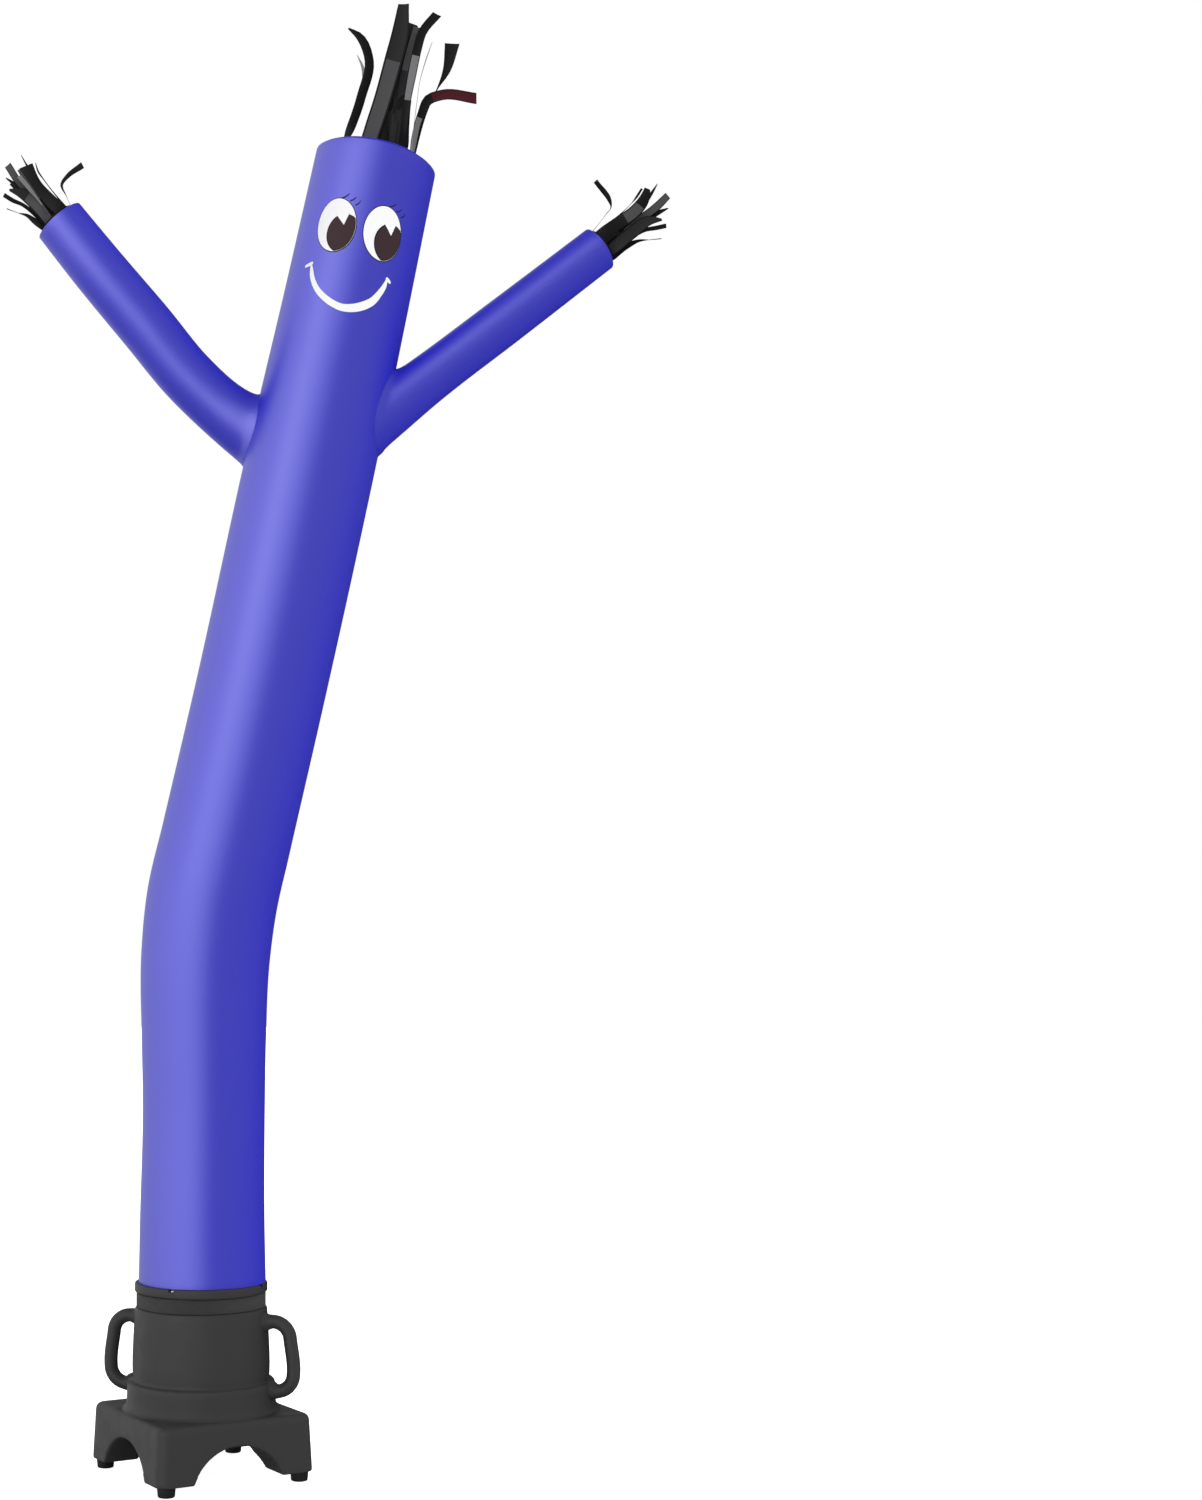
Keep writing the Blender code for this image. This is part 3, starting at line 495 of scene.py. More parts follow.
for before, after in zip(body_frames, body_frames[1:]):
    body_reach.append(body_reach[-1] + (after.translation - before.translation).length)


def on_head(across, along, lift):
    """Place on the head's front: metres across and along from the face's middle."""
    at = body_reach[-1] - EYE_DOWN + along
    index = int(np.clip(np.searchsorted(body_reach, at, side="right") - 1, 0, HEAD_END - 1))
    share = (at - body_reach[index]) / (body_reach[index + 1] - body_reach[index])
    turn = (across + FACE_TURN) / body_frames[index].median_scale
    ends = []
    for frame_at in body_frames[index:index + 2]:
        grown = 1.0 + lift / frame_at.median_scale
        spot = Vector((math.sin(turn) * grown, -math.cos(turn) * grown, 0.0))
        ends.append(frame_at @ spot)
    return ends[0].lerp(ends[1], share)


def seen_at(drawing, across, down, back):
    """Place at a depth that the camera sees at a point of a front drawing."""
    left, top, zoom = drawing
    ray = Vector(((left + across / zoom - PICTURE[0] / 2) / PICTURE[1] + camera_data.shift_x,
                  (PICTURE[1] / 2 - top - down / zoom) / PICTURE[1] + camera_data.shift_y,
                  -camera_data.lens / camera_data.sensor_width))
    ray.rotate(camera.rotation_euler)
    return camera.location + ray * ((back - camera.location.y) / ray.y)


def drawn_row(across, down, width):
    """A point of the face's drawing as across and along on the head, with its width."""
    head = body_frames[HEAD_END].to_3x3().normalized()
    at = Vector((0.0, 0.0))
    for _ in range(40):
        spot = on_head(at.x, at.y, 0.0)
        miss = seen_at(FACE_DRAWING, across, down, spot.y) - spot
        at += Vector((miss.dot(head.col[0]), miss.dot(head.col[2])))
    return at.x, at.y, width / FACE_DRAWING[2] * PICTURE_STEP


def row_by_eyes(across, down, width=0):
    """A point drawn from an eye's centre as its mean place by the two eyes, with its width."""
    places = []
    for eye_across, eye_down in EYE_CENTRES:
        spot = drawn_row(eye_across + across, eye_down + down, width)
        centre = drawn_row(eye_across, eye_down, 0)
        places.append((spot[0] - centre[0], spot[1] - centre[1]))
    return (*np.mean(places, axis=0), spot[2])


def oval_reach(start, heading, centre, half):
    """How far from a place inside an oval its edge lies in one direction."""
    from_x = (start[0] - centre[0]) / half[0]
    from_y = (start[1] - centre[1]) / half[1]
    step_x = heading[0] / half[0]
    step_y = heading[1] / half[1]
    square = step_x**2 + step_y**2
    middle = from_x * step_x + from_y * step_y
    return (math.sqrt(middle**2 - square * (from_x**2 + from_y**2 - 1.0)) - middle) / square


def print_disc(shape, eye, start, ovals, lift):
    """Adds the part of the print that lies in all the ovals (centre, half) of one eye."""
    lean = math.radians(EYE_LEAN)

    def spot(side, ring):
        turn = 2 * math.pi * side / DISC_SIDES
        heading = (math.cos(turn), math.sin(turn))
        reach = min(oval_reach(start, heading, centre, half) for centre, half in ovals)
        x = start[0] + heading[0] * reach * ring / DISC_RINGS
        y = start[1] + heading[1] * reach * ring / DISC_RINGS
        return on_head(eye[0] + x * math.cos(lean) - y * math.sin(lean),
                       eye[1] + x * math.sin(lean) + y * math.cos(lean), lift)

    corners = laid_grid(shape, DISC_SIDES, DISC_RINGS, spot)
    bmesh.ops.remove_doubles(shape, verts=list(corners), dist=0.000001)


def print_stroke(shape, rows, count, centre, lift, round_ends=True):
    """Adds a brush stroke of the print: rows of across, along and width."""
    path = smooth_rows([(x, y, 0.0, width) for x, y, width in rows], count)

    def spot(lane, index):
        step = path[min(index + 1, count - 1), :2] - path[max(index - 1, 0), :2]
        step = step / np.linalg.norm(step)
        half = path[index, 3] / 2
        if round_ends:
            from_end = min(index, count - 1 - index) / (count - 1)
            half *= math.sqrt(min(1.0, 0.15 + from_end * 14.0))
        x, y = path[index, :2] + np.array((-step[1], step[0])) * half * (lane - 1)
        return on_head(centre[0] + x, centre[1] + y, lift)

    laid_grid(shape, 2, count - 1, spot)


fine_grain = bpy.data.node_groups.new("fine_grain", "ShaderNodeTree")
for label, kind, way in (("Place", "NodeSocketVector", "INPUT"),
                         ("Speckles", "NodeSocketFloat", "INPUT"),
                         ("Depth", "NodeSocketFloat", "INPUT"),
                         ("Roughness", "NodeSocketFloat", "INPUT"),
                         ("Normal", "NodeSocketVector", "OUTPUT"),
                         ("Roughness", "NodeSocketFloat", "OUTPUT")):
    fine_grain.interface.new_socket(label, in_out=way, socket_type=kind)
grain_in = node_of(fine_grain, "NodeGroupInput")
grain_out = node_of(fine_grain, "NodeGroupOutput")
speckle = node_of(fine_grain, "ShaderNodeTexNoise", {"Detail": 2.0})
speckle_bump = node_of(fine_grain, "ShaderNodeBump", {"Distance": 0.0002})
cloud = node_of(fine_grain, "ShaderNodeTexNoise", {"Scale": 35.0})
cloud_share = node_of(fine_grain, "ShaderNodeMapRange", {"From Min": 0.35, "From Max": 0.65,
                                                         "To Min": -0.04, "To Max": 0.04})
cloud_sum = node_of(fine_grain, "ShaderNodeMath", operation="ADD")
link(grain_in, "Place", speckle, "Vector")
link(grain_in, "Place", cloud, "Vector")
link(grain_in, "Speckles", speckle, "Scale")
link(grain_in, "Depth", speckle_bump, "Strength")
link(speckle, "Fac", speckle_bump, "Height")
link(speckle_bump, "Normal", grain_out, "Normal")
link(cloud, "Fac", cloud_share, "Value")
link(cloud_share, "Result", cloud_sum, 0)
link(grain_in, "Roughness", cloud_sum, 1)
link(cloud_sum, "Value", grain_out, "Roughness")


def give_grain(tree, speckles, depth, roughness):
    """A skin of fine speckles, so many a metre, with a slightly uneven roughness."""
    place = node_of(tree, "ShaderNodeTexCoord")
    skin = node_of(tree, "ShaderNodeGroup", {"Speckles": speckles, "Depth": depth,
                                             "Roughness": roughness}, node_tree=fine_grain)
    skin_shader = tree.nodes["Principled BSDF"]
    link(place, "Object", skin, "Place")
    link(skin, "Normal", skin_shader, "Normal")
    link(skin, "Roughness", skin_shader, "Roughness")


def print_ink(name, colour, specular=0.10):
    """A printing ink, matt unless it is given more of the cloth's sheen."""
    ink, ink_shader = new_material(name)
    set_inputs(ink_shader, {"Base Color": (*colour, 1.0), "Specular IOR Level": specular})
    give_grain(ink.node_tree, 900.0, 0.10, 0.55)
    return ink


def print_piece(name, shape, ink):
    """Finishes one colour of the print with its faces outward."""
    bmesh.ops.recalc_face_normals(shape, faces=shape.faces)
    if sum(face.normal.y for face in shape.faces) > 0:
        bmesh.ops.reverse_faces(shape, faces=list(shape.faces))
    return finished_piece(name, shape, ink, "dancer", [])


eye_line_shape = bmesh.new()
eye_white_shape = bmesh.new()
pupil_line_shape = bmesh.new()
pupil_shape = bmesh.new()
glint_shape = bmesh.new()
lash_shape = bmesh.new()
oval = ((0.0, 0.0), EYE_HALF)
line_oval = ((0.0, 0.0), (EYE_HALF[0] + EYE_LINE, EYE_HALF[1] + EYE_LINE))
inner_oval = ((0.0, 0.0), (EYE_HALF[0] - 0.0005, EYE_HALF[1] - 0.0005))
pupil_oval = (PUPIL_OFF, PUPIL_HALF)
pupil_inner_oval = (PUPIL_OFF, (PUPIL_HALF[0] - PUPIL_LINE, PUPIL_HALF[1] - PUPIL_LINE))
pupil_start = (PUPIL_OFF[0] * 0.5, PUPIL_OFF[1] * 0.6)
for sign in (-1, 1):
    eye = (sign * EYE_APART, sign * EYE_RISE)
    print_disc(eye_line_shape, eye, (0.0, 0.0), [line_oval], 0.0003)
    print_disc(eye_white_shape, eye, (0.0, 0.0), [oval], 0.0006)
    print_disc(pupil_line_shape, eye, pupil_start, [pupil_oval, inner_oval], 0.0009)
    print_disc(pupil_shape, eye, pupil_start, [pupil_inner_oval, inner_oval], 0.0012)
    print_stroke(glint_shape, [row_by_eyes(*row) for row in GLINT], 8, eye, 0.0015,
                 round_ends=False)
    for lash in LASHES:
        rows = [(*row_by_eyes(*point)[:2], width) for point, width in zip(lash, LASH_WIDTHS)]
        print_stroke(lash_shape, rows, 9, eye, 0.0004, round_ends=False)
dark_ink = print_ink("dark_eye_ink", (0.010, 0.008, 0.012))
white_ink = print_ink("white_ink", (0.97, 0.97, 0.98), 0.90)
brown_ink = print_ink("brown_pupil_ink", (0.050, 0.028, 0.032))
lash_ink = print_ink("dark_blue_ink", (0.020, 0.018, 0.140))
print_piece("eye_outlines", eye_line_shape, dark_ink)
print_piece("eye_whites", eye_white_shape, white_ink)
print_piece("pupil_outlines", pupil_line_shape, dark_ink)
print_piece("pupils", pupil_shape, brown_ink)
print_piece("pupil_glints", glint_shape, white_ink)
print_piece("lashes", lash_shape, lash_ink)
smile_shape = bmesh.new()
print_stroke(smile_shape, [drawn_row(*row) for row in SMILE], 60, (0.0, 0.0), 0.0003)
for tick in SMILE_TICKS:
    print_stroke(smile_shape, [drawn_row(*row) for row in tick], 14, (0.0, 0.0), 0.0005)
print_piece("smile", smile_shape, white_ink)

# ---------------------------------------------------------------- streamers
# Bunches of black satin ribbon with one maroon end and black woven edges. The grey faces and thin
# pale strips on them are painted sheen and painted highlight on the black satin. Their roots are
# sewn to a round strip in the vent of the head and each hand.
# A front ribbon's row: colour bands from root to tip, twist added to its root's own, then
# its places on a front drawing of its bunch, as (across, down, y in metres, width).
# A back ribbon's row: place of the root round the vent in degrees, width there, twist in
# degrees, colour bands, then places passed as (sideways, back, along, width) in metres.
BLACK = (0.008, 0.008, 0.009)
# The four greys after BLACK are painted sheen and highlight on the black satin: faint, grey and
# pale sheen, then the pale of the highlight streaks. MAROON is a ribbon end's own colour.
SOFT_SHEEN = (0.020, 0.020, 0.021)
GREY_SHEEN = (0.070, 0.070, 0.072)
PALE_SHEEN = (0.180, 0.180, 0.185)
HIGHLIGHT_STREAK = (0.400, 0.400, 0.410)
MAROON = (0.070, 0.007, 0.013)
HEAD_STREAMERS = (
    ((BLACK,), 8,
     ((190, 1110, -.012, 66), (258, 790, -.010, 76), (318, 500, -.011, 76),
      (240, 300, -.012, 62), (150, 232, -.012, 14))),
    ((GREY_SHEEN, GREY_SHEEN, GREY_SHEEN, SOFT_SHEEN, SOFT_SHEEN), 0,
     ((335, 1110, -.056, 140), (437, 790, -.052, 140), (522, 490, -.054, 146),
      (572, 300, -.055, 140), (606, 34, -.056, 84))),
    ((BLACK,), 5,
     ((560, 1160, -.045, 150), (585, 900, -.046, 150), (630, 800, -.046, 84))),
    ((BLACK, PALE_SHEEN, BLACK), -4,
     ((600, 1160, -.050, 60), (630, 850, -.058, 60), (675, 600, -.060, 72),
      (716, 400, -.058, 74), (762, 265, -.050, 74), (878, 120, -.044, 76))),
    ((SOFT_SHEEN,), 0,
     ((480, 1140, -.038, 60), (590, 600, -.038, 80), (630, 400, -.038, 90),
      (672, 192, -.038, 104))),
    ((SOFT_SHEEN, SOFT_SHEEN, GREY_SHEEN), 0,
     ((520, 1150, -.044, 50), (610, 600, -.044, 64), (660, 400, -.044, 68), (716, 222, -.044, 78))),
    ((BLACK,), -6,
     ((700, 1160, .014, 30), (800, 900, .012, 12), (876, 735, .012, 8),
      (958, 580, .012, 62), (1003, 356, .012, 120))),
    ((PALE_SHEEN, PALE_SHEEN, PALE_SHEEN, BLACK, BLACK, MAROON, MAROON, MAROON), 6,
     ((688, 1195, -.024, 56), (750, 930, -.024, 62), (808, 820, -.025, 80),
      (920, 778, -.026, 82), (1205, 808, -.028, 84))),
    # The next two are thin strips of painted highlight laid along other ribbons, not ribbons of
    # their own.
    ((HIGHLIGHT_STREAK,), 0,
     ((690, 1190, -.030, 4), (712, 860, -.030, 4), (742, 650, -.030, 5),
      (790, 480, -.030, 7), (838, 345, -.030, 4))),
    ((HIGHLIGHT_STREAK,), 0,
     ((215, 1110, .012, 30), (280, 640, .014, 26), (264, 545, .014, 24), (222, 452, .014, 4))),
)
HAND_LEFT_STREAMERS = (
    ((BLACK,), 0,
     ((612, 728, -.022, 126), (470, 570, -.024, 116), (345, 410, -.024, 98),
      (250, 250, -.026, 140))),
    ((GREY_SHEEN, GREY_SHEEN, SOFT_SHEEN), 0,
     ((500, 840, -.026, 104), (375, 660, -.028, 120), (240, 530, -.0278, 110),
      (90, 490, -.028, 20))),
    ((GREY_SHEEN, PALE_SHEEN, PALE_SHEEN), 0,
     ((530, 790, -.024, 20), (385, 600, -.0308, 22), (290, 480, -.031, 50),
      (185, 350, -.0308, 60))),
    ((BLACK, GREY_SHEEN, GREY_SHEEN), 0,
     ((520, 810, -.010, 60), (330, 560, -.014, 66), (180, 410, -.016, 70), (76, 245, -.016, 72))),
    ((BLACK,), 4,
     ((480, 860, -.008, 50), (300, 600, -.010, 56), (170, 460, -.010, 50), (57, 370, -.010, 10))),
    ((BLACK,), 6,
     ((450, 880, -.016, 50), (350, 735, -.018, 44), (215, 625, -.018, 38),
      (120, 590, -.018, 44), (34, 537, -.018, 42))),
    ((BLACK,), -6,
     ((440, 895, -.006, 50), (350, 800, -.008, 56), (265, 740, -.008, 34), (185, 711, -.008, 6))),
    ((BLACK,), 0,
     ((700, 680, .006, 6), (648, 550, .006, 4), (604, 440, .006, 26),
      (665, 350, .006, 44), (803, 241, .006, 62))),
    ((BLACK,), 0,
     ((600, 740, .016, 30), (430, 520, .018, 30), (250, 230, .018, 14), (208, 150, .018, 6))),
    ((BLACK,), 0,
     ((640, 700, .010, 20), (420, 380, .012, 8), (370, 300, .0122, 14), (345, 220, .012, 6))),
    ((SOFT_SHEEN, PALE_SHEEN), 0,
     ((470, 870, .010, 20), (300, 770, .012, 6), (150, 700, .012, 6), (66, 670, .012, 12))),
)
HAND_RIGHT_STREAMERS = (
    ((BLACK, BLACK, GREY_SHEEN, BLACK), 0,
     ((775, 890, -.022, 150), (930, 750, -.024, 130), (1080, 650, -.026, 130),
      (1190, 510, -.024, 110), (1225, 400, -.026, 60))),
    ((SOFT_SHEEN,), 0,
     ((905, 1010, -.026, 120), (1060, 860, -.028, 130), (1220, 740, -.028, 110),
      (1370, 725, -.028, 20))),
    ((BLACK, GREY_SHEEN, GREY_SHEEN), 0,
     ((860, 960, -.010, 60), (1080, 760, -.014, 70), (1310, 600, -.016, 84),
      (1435, 470, -.016, 76))),
    ((BLACK,), 4,
     ((900, 1000, -.008, 50), (1150, 760, -.010, 56), (1330, 650, -.010, 50),
      (1435, 608, -.010, 10))),
    ((BLACK,), 6,
     ((900, 1040, -.016, 50), (1060, 905, -.018, 44), (1200, 830, -.0182, 40),
      (1310, 810, -.018, 46), (1420, 785, -.018, 46))),
    ((BLACK,), -6,
     ((900, 1090, -.006, 50), (1020, 990, -.008, 60), (1120, 950, -.008, 34),
      (1230, 938, -.008, 6))),
    ((BLACK,), 0,
     ((720, 800, .006, 6), (790, 670, .006, 4), (845, 590, .006, 10),
      (835, 530, .006, 40), (680, 325, .006, 50))),
    ((BLACK,), 0,
     ((800, 900, .016, 30), (1100, 680, .018, 30), (1280, 430, .018, 26), (1325, 350, .018, 8))),
    ((BLACK,), 0,
     ((740, 850, .010, 20), (1060, 545, .012, 8), (1110, 490, .012, 24), (1165, 405, .012, 20))),
    ((SOFT_SHEEN, PALE_SHEEN), 0,
     ((890, 1050, .010, 20), (1080, 960, .012, 6), (1240, 935, .012, 6), (1370, 920, .012, 10))),
)
HEAD_BACK = (
    (55, .022, 25, (BLACK, SOFT_SHEEN, GREY_SHEEN),
     ((.024, .050, .080, .022), (.018, .048, .160, .022), (.018, .050, .215, .012))),
    (85, .026, 5, (SOFT_SHEEN, BLACK),
     ((.004, .062, .085, .026), (.004, .062, .150, .028), (.002, .064, .235, .016))),
    (112, .022, -20, (GREY_SHEEN, BLACK),
     ((-.014, .058, .060, .022), (-.008, .056, .130, .020), (-.010, .058, .200, .010))),
)
HAND_LEFT_BACK = (
    (75, .018, 15, (BLACK, GREY_SHEEN),
     ((.006, .024, .050, .016), (.004, .026, .085, .014), (.006, .028, .122, .008))),
    (120, .016, -25, (SOFT_SHEEN, BLACK),
     ((-.014, .022, .046, .015), (-.016, .024, .080, .014), (-.022, .028, .112, .007))),
)
HAND_RIGHT_BACK = (
    (255, .018, 15, (BLACK, GREY_SHEEN),
     ((-.004, -.024, .050, .016), (-.006, -.026, .090, .014), (-.004, -.028, .130, .008))),
    (290, .016, -20, (SOFT_SHEEN, BLACK),
     ((.010, -.022, .050, .015), (.010, -.024, .085, .014), (.014, -.026, .118, .008))),
)
BUNCHES = (  # name, end frame, vent radius, dome, which way its sideways points,
    # its drawing's left, top and zoom in the picture, front ribbons, back ribbons
    ("head_streamers", body_frames[-1], 0.068, 0.014, 1, (330, 0, 1560 / 190),
     HEAD_STREAMERS, HEAD_BACK),
    ("hand_left_streamers", arm_frames["arm_left"][-1], 0.0335, 0.003, 1, (0, 140, 1560 / 160),
     HAND_LEFT_STREAMERS, HAND_LEFT_BACK),
    ("hand_right_streamers", arm_frames["arm_right"][-1], 0.0335, 0.003, -1,
     (530, 150, 1560 / 150), HAND_RIGHT_STREAMERS, HAND_RIGHT_BACK),
)
RIBBON_STEPS = 24
TWIST_SPAN = (0.02, 0.18)   # shares of its length between which a ribbon makes its twist
RIBBON_LANES = (-1.0, -0.80, -0.40, 0.0, 0.40, 0.80, 1.0)   # across it, its woven edges first
RIBBON = 0.0005
STRIP_HALF = 0.0040
STRIP = 0.0050

satin, shader = new_material("black_satin_ribbon")
tree = satin.node_tree
set_inputs(shader, {"Roughness": 0.50, "Specular IOR Level": 0.12})
shade = node_of(tree, "ShaderNodeAttribute", attribute_name="shade")
link(shade, "Color", shader, "Base Color")
ribbon_uv = node_of(tree, "ShaderNodeUVMap", uv_map="cloth")
ribbon_stretch = node_of(tree, "ShaderNodeMapping", {"Scale": (900.0, 60.0, 1.0)})
link(ribbon_uv, "UV", ribbon_stretch, "Vector")
ribbon_noise = node_of(tree, "ShaderNodeTexNoise", {"Scale": 1.0})
link(ribbon_stretch, "Vector", ribbon_noise, "Vector")
ribbon_bump = node_of(tree, "ShaderNodeBump", {"Strength": 0.15, "Distance": 0.0004})
link(ribbon_noise, "Fac", ribbon_bump, "Height")
link(ribbon_bump, "Normal", shader, "Normal")


def add_ribbon(shape, layers, stops, across, twist, bands, curl):
    """One ribbon through its stops (x, y, z, width), a little hollow, slanting at its tip."""
    cloth_uv, shade_layer = layers
    last = RIBBON_STEPS - 1
    path = smooth_rows(stops, RIBBON_STEPS)
    places = [Vector(row[:3]) for row in path]
    reaches = [0.0]
    for before, after in zip(places, places[1:]):
        reaches.append(reaches[-1] + (after - before).length)
    headings = []
    sides = []
    for index in range(RIBBON_STEPS):
        heading = (places[min(index + 1, last)] - places[max(index - 1, 0)]).normalized()
        across = (across - heading * across.dot(heading)).normalized()
        turn = math.radians(twist) * float(np.interp(index / last, TWIST_SPAN, (0, 1)))
        headings.append(heading)
        sides.append(Matrix.Rotation(turn, 3, heading) @ across)

    def spot(lane, index):
        share = index / last
        width = path[index, 3]
        reach = RIBBON_LANES[lane]
        wave = math.sin(share * 9.0 + curl * 3.0) * 0.0015 * share
        hollow = (1 - reach * reach) * 0.06 * width * curl
        slant = width * 0.08 * reach * curl if index == last else 0.0
        normal = headings[index].cross(sides[index])
        return (places[index] + sides[index] * reach * width / 2 + normal * (hollow + wave)
                + headings[index] * slant)

    corners = laid_grid(shape, len(RIBBON_LANES) - 1, last, spot)
    for face in {face for vert in corners for face in vert.link_faces}:
        row = max(corners[vert][1] for vert in face.verts)
        lane = max(corners[vert][0] for vert in face.verts)
        # A band is the satin's own black or maroon, or a grey of painted sheen; the edge lanes go
        # black except on a painted highlight streak.
        band = bands[min(int((row - 0.5) / last * len(bands)), len(bands) - 1)]
        if lane in (1, len(RIBBON_LANES) - 1) and band != HIGHLIGHT_STREAK:
            band = BLACK
        for loop in face.loops:
            lane, index = corners[loop.vert]
            loop[cloth_uv].uv = ((RIBBON_LANES[lane] + 1) / 2 * path[row, 3], reaches[index])
            loop[shade_layer] = (*band, 1.0)
    return float(sum((reaches[index] - reaches[index - 1]) * path[index, 3]
                     for index in range(1, RIBBON_STEPS)))


def front_row(drawing, centre, place, bands, more_twist, stops):
    """A front ribbon as a back ribbon's row, its places kept to the millimetre."""
    passed = []
    for across, down, back, width in stops:
        spot = place.inverted() @ (seen_at(drawing, across, down, back) - centre)
        passed.append([round(value, 4)
                       for value in (*spot, width / drawing[2] * PICTURE_STEP)])
    degrees = math.degrees(math.atan2(passed[0][1], passed[0][0])) % 360
    level = 270 if degrees >= 180 else 90
    passed = [[round(value, 3) for value in stop] for stop in passed]
    return (round(degrees), passed[0][3], round(level - degrees + more_twist), bands,
            passed[1:])


for name, end, vent, dome, outer_side, drawing, front, back_rows in BUNCHES:
    turn = end.to_3x3().normalized()
    side = turn @ Vector((1, 0, 0)) * outer_side
    along = turn @ Vector((0, 0, 1))
    place = Matrix((side, along.cross(side), along)).transposed()
    centre = end.translation + along * dome
    radius = vent - 0.0003 - STRIP / 2
    bunch_shape = bmesh.new()
    layers = (bunch_shape.loops.layers.uv.new("cloth"),
              bunch_shape.loops.layers.float_color.new("shade"))
    area = 0.0
    table = [front_row(drawing, centre, place, *row) for row in front] + list(back_rows)
    for index, (degrees, root_width, twist, bands, way) in enumerate(table):
        angle = math.radians(degrees)
        root = (radius * math.cos(angle), radius * math.sin(angle), -0.003, root_width)
        across = place @ Vector((-math.sin(angle), math.cos(angle), 0.0))
        stops = [(*(centre + place @ Vector(stop[:3])), stop[3]) for stop in (root, *way)]
        area += add_ribbon(bunch_shape, layers, stops, across, twist, bands,
                           1.0 if index % 2 else -0.7)
    bunch = finished_piece(name, bunch_shape, satin, "dancer", [name])
    thicken(bunch, RIBBON, 0.0)

    strip_shape = bmesh.new()
    bmesh.ops.create_circle(strip_shape, segments=ARM_SIDES, radius=radius + STRIP / 2,
                            matrix=Matrix.Translation((0, 0, -STRIP_HALF)))
    rim_edges = list(strip_shape.edges)
    for ring_radius, height in ((radius + STRIP / 2, STRIP_HALF),
                                (radius + STRIP / 4, STRIP_HALF + 0.0006),
                                (radius - STRIP / 4, STRIP_HALF + 0.0006),
                                (radius - STRIP / 2, STRIP_HALF),
                                (radius - STRIP / 2, -STRIP_HALF)):
        swept = bmesh.ops.extrude_edge_only(strip_shape, edges=rim_edges)["geom"]
        verts = [part for part in swept if isinstance(part, bmesh.types.BMVert)]
        rim_edges = [part for part in swept if isinstance(part, bmesh.types.BMEdge)
                     and all(vert in verts for vert in part.verts)]
        for vert in verts:
            flat = Vector((vert.co.x, vert.co.y, 0.0)).normalized() * ring_radius
            vert.co = (flat.x, flat.y, height)
    open_edges = [edge for edge in strip_shape.edges if len(edge.link_faces) == 1]
    bmesh.ops.bridge_loops(strip_shape, edges=open_edges)
    shade_layer = strip_shape.loops.layers.float_color.new("shade")
    for face in strip_shape.faces:
        for loop in face.loops:
            loop[shade_layer] = (*BLACK, 1.0)
    bmesh.ops.recalc_face_normals(strip_shape, faces=strip_shape.faces)
    bmesh.ops.transform(strip_shape, matrix=Matrix.Translation(centre) @ place.to_4x4(),
                        verts=strip_shape.verts)
    if outer_side < 0:
        bmesh.ops.recalc_face_normals(strip_shape, faces=strip_shape.faces)
    finished_piece(name.replace("streamers", "strip"), strip_shape, satin, "dancer",
                   [])

# ---------------------------------------------------------------- moulded blower
# Housing, square base and two grips, moulded in black plastic with a fine matt skin. The
# drum runs into the base in a soft hollow, and the base's edges and arches are rounded.
BLOWER = Matrix.Translation((AXIS_X, 0.0, 0.0)) @ Matrix.Rotation(math.radians(-19), 4, "Z")
HOUSING_SIDE = (  # outer radius, height, from the neck's top down to the base
    (0.1122, 0.3330), (0.1132, 0.3326), (0.1135, 0.3315), (0.1135, 0.3075), (0.1140, 0.3062),
    (0.1168, 0.3056), (0.1185, 0.3048), (0.1197, 0.3030), (0.1203, 0.3000), (0.1212, 0.2870),
    (0.1224, 0.2660), (0.1236, 0.2420), (0.1245, 0.2200), (0.1248, 0.2020), (0.1246, 0.1900),
    (0.1240, 0.1810), (0.1240, 0.1775), (0.1246, 0.1752), (0.1260, 0.1738), (0.1290, 0.1730),
    (0.1315, 0.1722), (0.1334, 0.1702), (0.1343, 0.1670), (0.1345, 0.1600), (0.1346, 0.1480),
    (0.1350, 0.1400), (0.1358, 0.1325), (0.1375, 0.1270), (0.1402, 0.1234), (0.1440, 0.1214),
)
HOUSING_BORE = ((0.1440, 0.1195), (0.1050, 0.1195), (0.1050, 0.3322), (0.1056, 0.3330))
PAD = ((-0.056, 0.060, 0.182), (0.056, 0.128, 0.294))
PAD_CORNER = 0.007
PAD_EDGE = 0.0028
BASE_HALF = (0.1495, 0.1540)          # half width at its top and bottom
BASE_LEVELS = (0.121, 0.018)
BASE_CORNER = 0.020
BASE_EDGE = 0.011
INLET_RADIUS = 0.098
ARCH = (0.092, 0.078)                 # radius and top of each tunnel through the base
HANDLE = (0.0125, 0.2825, 0.1575, 0.1690, 0.1750, 0.032)
HANDLE_FLARE = (1.50, 0.016)          # a root's spread, over this length


def matt_plastic(name, colour, roughness, grain):
    """Moulded plastic with a fine even skin."""
    made, plastic_shader = new_material(name)
    set_inputs(plastic_shader, {"Base Color": (*colour, 1.0), "Specular IOR Level": 0.18})
    give_grain(made.node_tree, 1400.0, grain, roughness)
    return made


def spun_shape(outline, steps, closed=True):
    """Closed outline of (radius, height) points turned about Z."""
    shape = bmesh.new()
    verts = [shape.verts.new((radius, 0.0, height)) for radius, height in outline]
    edges = [shape.edges.new(pair) for pair in zip(verts, verts[1:])]
    if closed:
        edges.append(shape.edges.new((verts[-1], verts[0])))
    bmesh.ops.spin(shape, geom=verts + edges, cent=(0, 0, 0), axis=(0, 0, 1),
                   angle=2 * math.pi, steps=steps, use_merge=True)
    bmesh.ops.remove_doubles(shape, verts=shape.verts, dist=0.00001)
    bmesh.ops.recalc_face_normals(shape, faces=shape.faces)
    return shape


